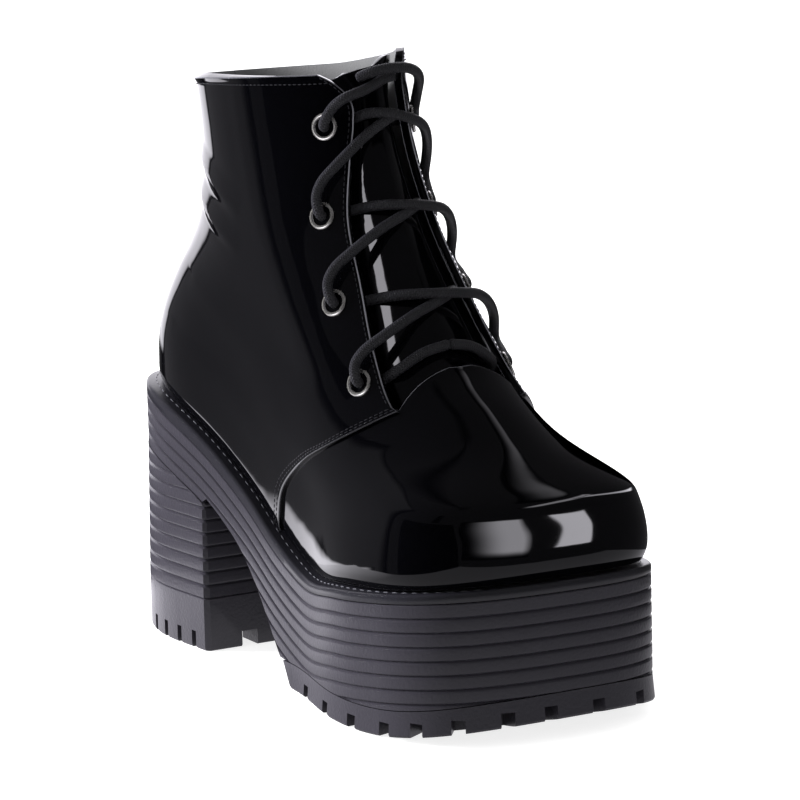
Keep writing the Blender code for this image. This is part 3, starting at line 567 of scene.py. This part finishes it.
def edge_distance(points):
    """Distance along a row from the back to the quarter's edge."""
    along = distances(points)
    over = past_edge(points)
    if over.max() <= 0:
        return along[-1]
    k = int(np.argmax(over > 0))
    share = over[k - 1] / (over[k - 1] - over[k])
    return along[k - 1] + share * (along[k] - along[k - 1])


def at_rows(grid, column, rows):
    """Points of a column of a grid at fractional rows."""
    known = np.arange(len(grid))
    return np.stack([np.interp(rows, known, each) for each in grid[:, column].T], axis=1)


def cut_at_throat(grid):
    """Rows of the vamp let down to a line straight across the throat."""
    made = grid.copy()
    for c in range(grid.shape[1]):
        s = grid[:, c, 1]
        ahead = np.nonzero(s >= THROAT_LINE)[0]
        top = row_of(THROAT_RING)
        if len(ahead):
            k = min(ahead[-1], len(s) - 2)
            top = k + np.clip((s[k] - THROAT_LINE) / max(s[k] - s[k + 1], 1e-6), 0, 1)
        made[:, c] = at_rows(grid, c, np.linspace(0, max(top, row_of(THROAT_RING)), len(s)))
    return made


def half_vamp(side, columns=70):
    """One side of the vamp from under the quarter to the front, at the last's face."""
    rows = []
    for row in range(row_of(VAMP_TOP_RING) + 1):
        points, normals = side_of_row(row, side)
        start = max(edge_distance(points) - SEAM_TUCK, 5.0)
        stations = np.linspace(start, distances(points)[-1], columns)
        rows.append(resampled(points, normals, stations)[0])
    return cut_at_throat(np.array(rows))


vamp_grid = np.concatenate([half_vamp(-1), half_vamp(1)[:, -2::-1]], axis=1)
vamp = clothed("vamp", vamp_grid, WALL, 0.4)
for pieces in (mirrors_toe_cards, mirrors_low_box, mirrors_white_wall):
    pieces.objects.link(vamp)
mirrors_white_wall.collection_objects[0].light_linking.link_state = "EXCLUDE"
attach(vamp, "root")
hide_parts("upper")

# ------ quarters
# Two quarters, joined down the back, lie one leather higher than the vamp.  Their front edges
# run up from the sole, over the vamp's throat and up the facings to the collar.
OVERLAY = 1.2           # from the last's face to a quarter's


def quarter_grid(side, columns=120):
    """Points and normals of the last's rows from the back to a quarter's front edge."""
    pairs = []
    for row in range(len(last)):
        points, normals = side_of_row(row, side)
        stations = edge_distance(points) * np.linspace(0, 1, columns)
        pairs.append(resampled(points, normals, stations))
    return np.array(pairs).transpose(1, 0, 2, 3)


SIDES = (("lateral", -1), ("medial", 1))
quarter_edges = {}
for word, side in SIDES:
    grid, normals = quarter_grid(side)
    quarter_edges[side] = grid[:, -1]
    face = grid + normals * OVERLAY
    if side > 0:
        face = face[:, ::-1]
    piece = clothed(f"quarter_{word}", face, OVERLAY + WALL, 1.1)
    mirrors_low_box.objects.link(piece)
    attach(piece, "root")
    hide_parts("upper")

# ------ stitching
# Lockstitched rows of black waxed thread that hold the leather's edges down.  Each stitch is a
# short bead half sunk in the leather.
thread = Recipe("thread", (0.008, 0.008, 0.010), 0.4)
STITCH_PITCH, STITCH_LENGTH, STITCH_RADIUS = 2.0, 1.5, 0.2
FACING_INSET = 1.5      # of the thread behind the leather's edge
SEAM_INSETS = (2.2, 4.2)
COLLAR_ROWS_DOWN = 3    # rows of the last


def stitch_tree():
    """Geometry nodes that set a bead at even distances along a curve."""
    tree = bpy.data.node_groups.new("stitch_row", "GeometryNodeTree")
    face = tree.interface
    face.new_socket("Geometry", in_out="INPUT", socket_type="NodeSocketGeometry")
    for name in ("Pitch", "Length", "Radius"):
        face.new_socket(name, in_out="INPUT", socket_type="NodeSocketFloat")
    face.new_socket("Material", in_out="INPUT", socket_type="NodeSocketMaterial")
    face.new_socket("Geometry", in_out="OUTPUT", socket_type="NodeSocketGeometry")
    make = tree.nodes.new
    start, end = make("NodeGroupInput"), make("NodeGroupOutput")
    points = make("GeometryNodeCurveToPoints")
    points.mode = "LENGTH"
    bead, placed = make("GeometryNodeMeshUVSphere"), make("GeometryNodeInstanceOnPoints")
    for socket, value in (("Segments", 8), ("Rings", 6), ("Radius", 1.0)):
        bead.inputs[socket].default_value = value
    real, smooth = make("GeometryNodeRealizeInstances"), make("GeometryNodeSetShadeSmooth")
    finish = make("GeometryNodeSetMaterial")
    size, half = make("ShaderNodeCombineXYZ"), make("ShaderNodeMath")
    half.operation = "MULTIPLY"
    half.inputs[1].default_value = 0.5
    for source, output, target, socket in (
            (start, "Geometry", points, "Curve"), (start, "Pitch", points, "Length"),
            (start, "Length", half, 0), (start, "Radius", size, "X"),
            (start, "Radius", size, "Y"), (half, 0, size, "Z"),
            (points, "Points", placed, "Points"), (points, "Rotation", placed, "Rotation"),
            (bead, "Mesh", placed, "Instance"), (size, "Vector", placed, "Scale"),
            (placed, "Instances", real, "Geometry"), (real, "Geometry", smooth, "Geometry"),
            (smooth, "Geometry", finish, "Geometry"), (start, "Material", finish, "Material"),
            (finish, "Geometry", end, "Geometry")):
        tree.links.new(source.outputs[output], target.inputs[socket])
    return tree


def as_modified(item):
    """Plain mesh of an object with its modifiers carried out."""
    graph = bpy.context.evaluated_depsgraph_get()
    return bpy.data.meshes.new_from_object(item.evaluated_get(graph))


def stitched(name, points, pitch=STITCH_PITCH, length=STITCH_LENGTH, radius=STITCH_RADIUS,
             fibre=thread):
    """A row of stitches along points of the shoe, as a plain mesh."""
    curve = bpy.data.curves.new(name, "CURVE")
    curve.dimensions = "3D"
    spline = curve.splines.new("POLY")
    spline.points.add(len(points) - 1)
    for knot, point in zip(spline.points, in_metres(points).tolist()):
        knot.co = (*point, 1)
    path = new_object(name + "_path", curve)
    step = path.modifiers.new("stitches", "NODES")
    step.node_group = stitch_nodes
    values = {"Pitch": pitch * 0.001, "Length": length * 0.001, "Radius": radius * 0.001,
              "Material": fibre.material}
    for socket in stitch_nodes.interface.items_tree:
        if socket.in_out == "INPUT" and socket.name in values:
            step[socket.identifier] = values[socket.name]
    mesh = as_modified(path)
    bpy.data.objects.remove(path, do_unlink=True)
    made = new_piece(name, mesh, fibre.material)
    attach(made, "root")
    return made


def quarter_line(side, rows, inset):
    """Points on a quarter's face at a distance behind its front edge."""
    made = []
    for row in rows:
        points, normals = side_of_row(row, side)
        p, n = resampled(points, normals, np.array([edge_distance(points) - inset]))
        made.append(p[0] + n[0] * OVERLAY)
    return np.array(made)


stitch_nodes = stitch_tree()
for word, side in SIDES:
    seam_rows = np.nonzero(quarter_edges[side][:, 2] < QUARTER_SEAM[-1].z)[0]
    facing_rows = np.arange(seam_rows[-1] + 3, len(last) - 1)
    stitched(f"facing_stitches_{word}", quarter_line(side, facing_rows, FACING_INSET))
    for ending, inset in zip(("", "_2"), SEAM_INSETS):
        stitched(f"seam_stitches_{word}{ending}", quarter_line(side, seam_rows[3:], inset))
    points, normals = side_of_row(len(last) - COLLAR_ROWS_DOWN, side)
    stations = np.linspace(1.5, edge_distance(points) - 2.3, 80)
    p, n = resampled(points, normals, stations)
    stitched(f"collar_stitches_{word}", p + n * (OVERLAY + 0.05))

# ------ tongue
# Padded tongue of patent leather and lining, under the lace.  It is stitched in below the
# throat line.
TONGUE_DROP = 3.8           # of its face under the last's, in the middle and at the sides
TONGUE_DROP_SIDE = 6.8
TONGUE_SLOPE = 2.5
TONGUE_FOOT_RING = 4.8
TONGUE_THICKNESS = 1.8
TONGUE_HALF_SPREAD = 46     # columns of the last on each side of the middle
TONGUE_TOP_FALL = 5.0       # rows by which its top is rounded off at the sides

tongue_columns = np.arange(LAST_FRONT - TONGUE_HALF_SPREAD, LAST_FRONT + TONGUE_HALF_SPREAD + 1)
tongue_rows = slice(row_of(TONGUE_FOOT_RING), None)
tongue_skin = last[tongue_rows, tongue_columns]
aside = np.abs(tongue_skin[..., 0]) - throat_half(tongue_skin[..., 2])
sunk = np.clip(0.55 + aside / TONGUE_SLOPE, 0, 1)[..., None]
drop = TONGUE_DROP + (TONGUE_DROP_SIDE - TONGUE_DROP) * sunk
tongue_face = tongue_skin - last_normals[tongue_rows, tongue_columns] * drop
for c in range(tongue_face.shape[1]):
    fall = TONGUE_TOP_FALL * np.clip(abs(c / TONGUE_HALF_SPREAD - 1) * 1.6 - 0.3, 0, 1) ** 1.5
    kept_rows = np.linspace(0, len(tongue_face) - 1 - fall, len(tongue_face))
    tongue_face[:, c] = at_rows(tongue_face, c, kept_rows)
tongue = clothed("tongue", tongue_face, TONGUE_THICKNESS, 0.4)
mirrors_tongue_box.objects.link(tongue)
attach(tongue, "root")
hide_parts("tongue")

# ------ insole
# Fibre board covered with dark lining, cut to the sole's plan.  It lies inside the upper on
# the sole's ledge.
INSOLE_MARGIN = 10.7
INSOLE_THICKNESS = 3.0
GAP = 0.3               # between one layer of the sole and the next
SHARP_ANGLE = radians(35)


def inset_loop(loop, distance):
    """Move a closed plan loop inward by a distance, one number or one a point."""
    along = np.roll(loop, -1, axis=0) - np.roll(loop, 1, axis=0)
    inward = unit(np.stack([-along[:, 1], along[:, 0]], axis=1))
    if ((loop.mean(axis=0) - loop) * inward).sum() < 0:
        inward = -inward
    return loop + inward * np.reshape(distance, (-1, 1))


def rails(first_s=-10.0, last_s=1000.0, inset=0.0):
    """Lateral and medial rails of the sole's plan, cut straight across at two stations."""
    loop = ring_points(SOLE_PLAN)[:, :2]
    plain = loop[:SIDE_COLUMNS, 1]
    loop = inset_loop(loop, inset)
    made = []
    for rail in (loop[:SIDE_COLUMNS], np.concatenate([loop[:1], loop[:SIDE_COLUMNS - 2:-1]])):
        kept = rail[(plain > first_s + 0.5) & (plain < last_s - 0.5)]
        ends = [[np.interp(at, rail[:-2, 1], rail[:-2, 0]), at] for at in (first_s, last_s)]
        if first_s > 0:
            kept = np.vstack([ends[:1], kept])
        if last_s < LENGTH:
            kept = np.vstack([kept, ends[1:]])
        made.append(kept)
    return made


def mended(mesh):
    """Join doubled points, fill open ends and turn the faces outward."""
    bm = bmesh.new()
    bm.from_mesh(mesh)
    bmesh.ops.remove_doubles(bm, verts=bm.verts, dist=2e-6)
    bmesh.ops.holes_fill(bm, edges=[e for e in bm.edges if e.is_boundary])
    bmesh.ops.recalc_face_normals(bm, faces=bm.faces)
    bm.to_mesh(mesh)
    bm.free()
    return mesh


def smooth_but_sharp(mesh):
    """Shade a mesh smooth, apart from the edges that turn sharply."""
    mesh.polygons.foreach_set("use_smooth", [True] * len(mesh.polygons))
    mesh.set_sharp_from_angle(angle=SHARP_ANGLE)


def between_rails(name, pair, layers, *materials):
    """Solid on rungs between two rails.  A layer turns stations into heights and insets."""
    lateral, medial = pair
    count = len(lateral)
    loop = np.concatenate([lateral, medial[::-1]])
    size = len(loop)
    repeated = np.abs(loop - np.roll(loop, 1, axis=0)).sum(axis=1) < 1e-6
    distinct = loop[~repeated]
    index = [int(np.argmin(np.abs(distinct - p).sum(axis=1))) for p in loop]
    width = len(distinct)
    points = []
    for layer in layers:
        heights, insets = layer(distinct[:, 1])
        points.append(np.column_stack([inset_loop(distinct, insets), heights]))
    faces = quads(len(layers), width, closed=True)
    for start in (0, (len(layers) - 1) * width):
        for c in range(count - 1):
            corners = [start + index[k] for k in (c, c + 1, size - 2 - c, size - 1 - c)]
            faces.append(tuple(dict.fromkeys(corners)))
    mesh = bpy.data.meshes.new(name)
    mesh.from_pydata(in_metres(np.concatenate(points)).tolist(), [],
                     [face for face in faces if len(face) > 2])
    smooth_but_sharp(mended(mesh))
    return new_piece(name, mesh, *materials)


def level(height, inset=0.0):
    """Layer at a height that may depend on the station."""
    return lambda s: (height(s) if callable(height) else np.full_like(s, height), inset)


insole = between_rails("insole", rails(inset=INSOLE_MARGIN),
                       [level(lambda s: ledge(s) + GAP + INSOLE_THICKNESS, 0.6),
                        level(lambda s: ledge(s) + GAP)], lining.material)
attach(insole, "root")
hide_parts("insole")

# ------ sole rubber
# Moulded rubber platform, dark grey with a fine grain, ribbed all around its side.  Behind the
# ball it arches up to a band that carries the heel block.
RIB_PITCH = 4.7
EDGE_ROUND = 0.35
FOOT_RISE, FOOT_INSET = 0.8, 0.5        # rounding at the floor
FOREFOOT_GROOVES = 8
BAND_GROOVES = 4
BAND_FOOT = 3.9                         # of the band's wall under its lowest groove
HEEL_BREAST = 70.7
HEEL_LIFT = 19.1
TREAD_THICKNESS = 8.6
TOE_SPRING = 7.4
SPRING_START = 190.0
ARCH = table("s z", (70.7, 56.5), (83.6, 49.5), (96.4, 40.8), (108.6, 28.3), (120.6, 13.1),
             (132.8, -0.5))
# Across a groove, from its middle: distance along the wall and depth.
HALF_GROOVE = ((0.95, 0.0), (0.62, 0.05), (0.42, 0.22), (0.22, 0.58))
GROOVE = table("step depth", *HALF_GROOVE, (0.0, 0.75),
               *[(-step, depth) for step, depth in reversed(HALF_GROOVE)])

arch = smooth_through(*zip(*ARCH))
rubber = Recipe("sole_rubber", (0.0125, 0.0117, 0.0152), 0.30, Specular_IOR_Level=0.3)
rubber.bump(rubber.noise(900.0, 4.0), 0.00012)


def toe_spring(s):
    return TOE_SPRING * np.clip((s - SPRING_START) / (LENGTH - SPRING_START), 0, None) ** 2


def tread_top(s):
    return toe_spring(s) + TREAD_THICKNESS


def band_bottom(s):
    return wall_top(s) - (BAND_GROOVES - 1) * RIB_PITCH - BAND_FOOT


def platform_bottom(s):
    under_waist = np.maximum(arch(s), tread_top(s) + GAP)
    return np.where(s < HEEL_BREAST, band_bottom(s), under_waist)


def ribbed(top, bottom, grooves, flare=lambda z: 0 * z):
    """Layers of a wall from its top down, with a rounded groove along each given height."""
    rows = [(top, 0.0, EDGE_ROUND), (top, -EDGE_ROUND, 0.0)]
    for height in grooves:
        rows += [(height, row.step, row.depth) for row in GROOVE]
    rows += [(bottom, 0.0, 0.0)]
    layers = []
    for height, step, depth in rows:
        def layer(s, height=height, step=step, depth=depth):
            z = height(s) + step
            clear = (z > bottom(s)) & (z <= top(s))
            z = np.clip(z, bottom(s), top(s))
            return z, np.where(clear, depth, 0.0) - flare(z)
        layers.append(layer)
    return layers


def below_wall_top(drop):
    return lambda s: wall_top(s) - drop


platform = between_rails(
    "platform", rails(),
    ribbed(wall_top, platform_bottom,
           [below_wall_top(RIB_PITCH * (n + 1)) for n in range(FOREFOOT_GROOVES)]),
    rubber.material)
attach(platform, "root")
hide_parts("platform")

# ------ heel block
# The block under the heel carries level ribs, flares a little to its foot and ends in a smooth
# top piece with notches between its lugs.
HEEL_FLARE = 1.2
HEEL_FLARE_TOP = 75.0
BREAST_CHAMFER = 0.6
HEEL_GROOVES = 12


def heel_flare(z):
    return HEEL_FLARE * np.clip((HEEL_FLARE_TOP - z) / (HEEL_FLARE_TOP - HEEL_LIFT), 0, 1)


def heel_rails():
    widened = []
    for rail, side in zip(rails(last_s=HEEL_BREAST), (1, -1)):
        corner = rail[-1]
        rail = rail[rail[:, 1] < HEEL_BREAST - BREAST_CHAMFER - 0.4]
        shoulder = (corner[0], HEEL_BREAST - BREAST_CHAMFER)
        tip = (corner[0] + side * BREAST_CHAMFER, HEEL_BREAST)
        widened.append(np.vstack([rail, [shoulder], [tip]]))
    return widened


def at_level(height):
    return lambda s: np.full_like(s, height)


heel_block = between_rails(
    "heel_block", heel_rails(),
    ribbed(lambda s: band_bottom(s) - 0.05, at_level(HEEL_LIFT + GAP),
           [at_level(HEEL_LIFT + RIB_PITCH * n) for n in range(HEEL_GROOVES, 0, -1)],
           heel_flare),
    rubber.material)
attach(heel_block, "root")
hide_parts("heel_block")

# ------ heel top piece and tread
# Lugged rubber layers that walk on the floor, cemented under the heel block and the platform.
# Notches run in from their sides.
TREAD_REAR = 132.8
TREAD_SLOPE = 5.5
TREAD_FLARE = 0.7
NOTCH_WIDTH, NOTCH_TOP = 4.6, 4.6
HEEL_NOTCH_WIDTH, HEEL_NOTCH_TOP = 2.8, 6.2
HEEL_NOTCHES = (33.0, 43.0, 53.0, 63.0)
HEEL_NOTCH_X = 43
NOTCH_REACH = 14.0
NOTCH_BOX_HEIGHT = 20.0
CHANNEL_WIDTH = 6.2
CHANNEL_HEIGHT = 5.6
TREAD_NOTCHES = table("x s turn", (-45, 148.5, 0), (-49, 170, 0), (-50, 189.5, 5), (-47, 207, 20),
                      (-42.5, 220, 38), (-33, 231, 56), (-19, 239, 75), (-4.5, 242, 88),
                      (13, 242, -80), (31, 238, -62), (45, 224, -32), (51, 205, -8), (52, 186, 0),
                      (50, 167, 0), (45.5, 149, 0))


def cut_notches(piece, notches):
    """Cut box-shaped notches, given as (x, s, top, turn, width, reach), up into a piece."""
    bm = bmesh.new()
    for x, s, top, turn, width, reach in notches:
        place = Vector(in_metres([x, s, top - NOTCH_BOX_HEIGHT / 2]).tolist())
        size = Vector((reach, width, NOTCH_BOX_HEIGHT)) * 0.001
        pose = Matrix.LocRotScale(place, Euler((0, 0, radians(turn))), size)
        bmesh.ops.create_cube(bm, size=1, matrix=pose)
    mesh = bpy.data.meshes.new("notches")
    bm.to_mesh(mesh)
    bm.free()
    cutter = new_object("notches", mesh)
    step = piece.modifiers.new("notches", "BOOLEAN")
    step.operation = "DIFFERENCE"
    step.object = cutter
    cut = as_modified(piece)
    piece.modifiers.clear()
    piece.data = cut
    bpy.data.objects.remove(cutter, do_unlink=True)
    smooth_but_sharp(cut)


top_piece = between_rails(
    "heel_top_piece", heel_rails(),
    [level(HEEL_LIFT, EDGE_ROUND - HEEL_FLARE), level(HEEL_LIFT - EDGE_ROUND, -HEEL_FLARE),
     level(FOOT_RISE, -HEEL_FLARE), level(0.0, FOOT_INSET - HEEL_FLARE)], rubber.material)
cut_notches(top_piece, [(side * HEEL_NOTCH_X, s, HEEL_NOTCH_TOP, 0, HEEL_NOTCH_WIDTH,
                         2 * NOTCH_REACH) for s in HEEL_NOTCHES for side in (-1, 1)]
            + [(x, HEEL_BREAST, CHANNEL_HEIGHT, 0, 60, CHANNEL_WIDTH) for x in (-25, 0, 25)])
cut_notches(top_piece, [(0, 38.0, CHANNEL_HEIGHT - 0.1, 0, 44, 59)])    # a hollow underneath
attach(top_piece, "root")
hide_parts("heel_top_piece")

tread = between_rails(
    "forefoot_tread", rails(first_s=TREAD_REAR),
    [level(tread_top), level(lambda s: toe_spring(s) + FOOT_RISE, -TREAD_FLARE),
     level(toe_spring, FOOT_INSET - TREAD_FLARE)], rubber.material)
for vertex in tread.data.vertices:
    station = CENTRE_S - vertex.co.y * 1000
    if station < TREAD_REAR + 1.0:
        vertex.co.y += TREAD_SLOPE * vertex.co.z / TREAD_THICKNESS
cut_notches(tread, [(r.x, r.s, NOTCH_TOP + float(toe_spring(min(r.s, LENGTH))), r.turn,
                     NOTCH_WIDTH, 2 * NOTCH_REACH) for r in TREAD_NOTCHES])
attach(tread, "root")
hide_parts("forefoot_tread")

# ------ rim
# Smooth dark rim between the ribbed wall and the upper, cemented to the platform and stitched
# around its inner edge.
RIM_STITCH_INSET = 3.6
RIM_STITCH_ENDS = (8, 232)      # stations between which it is stitched
rim_leather = Recipe("rim_leather", (0.0060, 0.0058, 0.0078), 0.32)
rim_leather.bump(rim_leather.noise(800.0, 3.0), 0.00005)


def rim_at(share, drop=0.0):
    return lambda s: wall_top(s) + GAP + (rim_height(s) - GAP) * share - drop


welt = between_rails("welt", rails(),
                     [level(rim_at(1.0), 1.3), level(rim_at(1.0, 0.12), 0.75),
                      level(rim_at(1.0, 0.45), 0.3), level(rim_at(1.0, 0.95), 0.08),
                      level(rim_at(1.0, 1.5), 0.0), level(rim_at(0.0, -0.3), 0.0),
                      level(rim_at(0.0), 0.2)], rim_leather.material)
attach(welt, "root")
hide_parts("welt")
rim_thread = Recipe("rim_thread", (0.04, 0.04, 0.047), 0.35)
for (word, _), rail in zip(SIDES, rails(inset=RIM_STITCH_INSET)):
    flat = rail[(rail[:, 1] > RIM_STITCH_ENDS[0]) & (rail[:, 1] < RIM_STITCH_ENDS[1])]
    stitched(f"rim_stitches_{word}", np.column_stack([flat, ledge(flat[:, 1]) + 0.05]),
             pitch=4.2, length=2.6, radius=0.24, fibre=rim_thread)

# ------ eyelets
# Eight pressed metal eyelets, four a side, set through the facings with their edges rolled
# outward over the leather.
EYELETS = table("half_width z", (27.6, 108.4), (25.8, 132.5), (21.5, 160.0), (16.6, 189.5))
EYELET_BORE = 3.15      # radii of the bore and of the rolled edge's middle line
EYELET_ROLL = 4.0
ROLL_RADIUS = 0.7
EYELET_BARREL = 3.7
EYELET_REACH = 3.4      # of the barrel into the leather
EYELET_SIDES = 40
FRONT_SPREAD = 75       # columns of the last on each side that eyelets and lace may meet
metal = Recipe("eyelet_metal", (0.80, 0.78, 0.75), 0.24, Metallic=0.96)


def on_last(x, z):
    """Point and outward normal on the front of the last at a given x and height."""
    middle = slice(LAST_FRONT - FRONT_SPREAD, LAST_FRONT + FRONT_SPREAD + 1)
    front, normals = last[:, middle], last_normals[:, middle]
    behind = front[..., 1] < FRONT_FROM
    away = (front[..., 0] - x) ** 2 + (front[..., 2] - z) ** 2 + behind * 1e6
    r, c = np.unravel_index(np.argmin(away), away.shape)
    r = min(max(r, 1), front.shape[0] - 2)
    c = min(max(c, 1), front.shape[1] - 2)
    dr = (front[r + 1, c] - front[r - 1, c]) / 2
    dc = (front[r, c + 1] - front[r, c - 1]) / 2
    matrix = np.array([[dr[0], dc[0]], [dr[2], dc[2]]])
    p, q = np.linalg.solve(matrix, [x - front[r, c, 0], z - front[r, c, 2]])
    p, q = np.clip([p, q], -1, 1)
    nr = (normals[r + 1, c] - normals[r - 1, c]) / 2
    nc = (normals[r, c + 1] - normals[r, c - 1]) / 2
    return front[r, c] + p * dr + q * dc, unit(normals[r, c] + p * nr + q * nc)


def circle(centre, radius, first, second, sides):
    angles = np.linspace(0, 2 * pi, sides, endpoint=False)
    return [centre + radius * (np.cos(a) * first + np.sin(a) * second) for a in angles]


def lathed(name, profile, centre, axis):
    """Closed metal ring of a profile of (radius, height) turned about an axis at a point."""
    axis = unit(axis)
    first = unit(np.cross(axis, [0.3, 0.2, 1.0]))
    second = np.cross(axis, first)
    rows = [circle(centre + axis * height, radius, first, second, EYELET_SIDES)
            for radius, height in profile + profile[:1]]
    mesh = grid_mesh(name, in_metres(np.array(rows)), closed=True)
    return new_piece(name, mended(mesh), metal.material)


roll = [(EYELET_ROLL - ROLL_RADIUS * np.cos(a), 0.2 + ROLL_RADIUS * np.sin(a))
        for a in np.linspace(0, pi, 13)]
EYELET_PROFILE = [(EYELET_BORE, -EYELET_REACH), *roll, (4.4, 0.0), (EYELET_BARREL, -0.1),
                  (EYELET_BARREL, -EYELET_REACH)]
for number, row in enumerate(EYELETS, start=1):
    for word, side in SIDES:
        point, normal = on_last(side * row.half_width, row.z)
        ring = lathed(f"eyelet_{word}_{number}", EYELET_PROFILE, point + normal * OVERLAY,
                      normal)
        mirrors_eyelet_box.objects.link(ring)
        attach(ring, "root")
        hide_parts(f"eyelet_{word}_{number}")

# ------ lace
# Round waxed lace: a bar across the lowest eyelets, crossings on the tongue, each strand out
# through an eyelet, over the facing's edge and under the opposite facing to the next one.
LACE_RADIUS = 1.8
LACE_SIDES = 20
OVER_STRAND = table("across up height", (-0.03, 0.12, 1.7), (-0.06, 0.29, 2.9), (-0.02, 0.50, 4.8),
                    (0.07, 0.74, 5.4), (0.19, 0.93, 4.8), (0.35, 1.05, 3.0), (0.56, 1.15, 0.0),
                    (0.70, 1.16, -0.9))
UNDER_STRAND = table("across up height", (0.02, 0.20, 4.0), (0.07, 0.36, 4.4), (0.16, 0.54, 4.0),
                     (0.27, 0.74, 2.4), (0.38, 0.91, 0.2), (0.52, 1.04, -0.8), (0.70, 1.12, -0.9))
EXIT_HEIGHTS = {-1: (-4.0, -1.0, 2.2), 1: (-4.0, -1.8, 0.7)}    # over the leather, by side
ROUTE_COLUMNS = "x z height"
BAR = table(ROUTE_COLUMNS, (-18.5, 113.8, -1.4), (-9.7, 118.5, -0.8), (0, 120.6, -0.7),
            (9.7, 118.8, -0.8), (18.5, 113.8, -1.4))
TOP_OVER = table(ROUTE_COLUMNS, (19.5, 193.0, 2.8), (19.0, 198.0, 4.2), (16.0, 203.0, 5.2),
                 (10.5, 206.8, 4.8), (4.0, 208.3, 3.6), (-3.0, 207.6, 1.4), (-7.5, 205.8, -0.4))
TOP_UNDER = table(ROUTE_COLUMNS, (-13.2, 196.5, 4.2), (-10.8, 198.8, 5.0), (-6.8, 201.2, 2.4),
                  (-2.0, 203.8, -0.7), (2.5, 205.6, -0.8), (6.5, 205.6, -0.8))
UNDER_FACING_UP = 1.10  # where a strand slips under the opposite facing, and how deep
UNDER_FACING_HEIGHT = -4.0
SWEEP_STEP = 0.9
PLAIT_TURNS = 6         # strands of the braid around the lace
PLAIT_LENGTH = 5.2      # distance in which a strand winds once around, millimetres
waxed_cord = Recipe("waxed_cord", (0.011, 0.0108, 0.0135), 0.50)
along_map = waxed_cord.node("ShaderNodeUVMap", {"uv_map": "along"}, {})
around_part = waxed_cord.node("ShaderNodeSeparateXYZ", {}, {0: along_map}, output="X")
length_part = waxed_cord.node("ShaderNodeSeparateXYZ", {}, {0: along_map}, output="Y")
turn = 2 * pi * PLAIT_TURNS * around_part
wind = 2 * pi * PLAIT_TURNS / PLAIT_LENGTH * length_part
plait = waxed_cord.maths("MAXIMUM", waxed_cord.maths("SINE", turn + wind),
                         waxed_cord.maths("SINE", turn - wind))
waxed_cord.bump(plait + 0.6 * waxed_cord.noise(2600.0, 3.0), 0.00022)


def laid(name, points):
    """Round lace along points, with a map of turns around it and distance along it."""
    points = np.array(points, float)
    along = distances(points)
    at = np.linspace(0, along[-1], int(along[-1] / SWEEP_STEP) + 2)
    path = read_at(along, points, at)
    for _ in range(3):
        path[1:-1] += 0.25 * (path[:-2] - 2 * path[1:-1] + path[2:])
    tangents = unit(np.gradient(path, axis=0))
    side = unit(np.cross(tangents[0], [0.1, 0.3, 1.0]))
    rows = []
    for k, tangent in enumerate(tangents):
        side = unit(side - tangent * (side @ tangent))
        shrink = 0.75 if k in (0, len(tangents) - 1) else 1.0
        rows.append(circle(path[k], shrink * LACE_RADIUS, side, np.cross(tangent, side),
                           LACE_SIDES))
    mesh = grid_mesh(name, in_metres(np.array(rows)), closed=True)
    layer = mesh.uv_layers.new(name="along")
    for polygon in mesh.polygons:
        r, c = divmod(polygon.index, LACE_SIDES)
        corners = [(c, r), (c + 1, r), (c + 1, r + 1), (c, r + 1)]
        for loop_index, (u, v) in zip(polygon.loop_indices, corners):
            layer.data[loop_index].uv = (u / LACE_SIDES, at[v])
    return new_piece(name, mended(mesh), waxed_cord.material)


def over_last(rows):
    """Points over the last, from rows of x, z and height over the leather."""
    found = [(on_last(x, z), height) for x, z, height in rows]
    return [point + normal * height for (point, normal), height in found]


def through_eyelet(row, side):
    """Points that come up through an eyelet."""
    return over_last([(side * row.half_width, row.z, h) for h in EXIT_HEIGHTS[side]])


def crossing(start, end, side, rows):
    """Points from one eyelet's side over the gap and in under the opposite facing."""
    made = []
    for row in rows:
        x = start.half_width - row.across * (start.half_width + end.half_width)
        made.append((side * x, start.z + row.up * (end.z - start.z), row.height))
    z = start.z + UNDER_FACING_UP * (end.z - start.z)
    under = float(throat_half(z)) + 1.0
    made.append((-side * under, z, UNDER_FACING_HEIGHT))
    return over_last(made)


def lace_half(side):
    """Half of the lace from the middle of the bar to its hidden end at the top."""
    route = over_last(BAR)[2::side] + through_eyelet(EYELETS[0], side)
    for start, end in zip(EYELETS, EYELETS[1:]):
        route += crossing(start, end, side, OVER_STRAND if side > 0 else UNDER_STRAND)
        side = -side
        route += through_eyelet(end, side)
    return route + over_last(TOP_OVER if side > 0 else TOP_UNDER)


for word, side in (("a", -1), ("b", 1)):
    piece = laid(f"lace_{word}", lace_half(side))
    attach(piece, "root")
    for node in ["lace_bar"] + [f"lace_crossing_{n}" for n in range(1, 5)]:
        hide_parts(node)
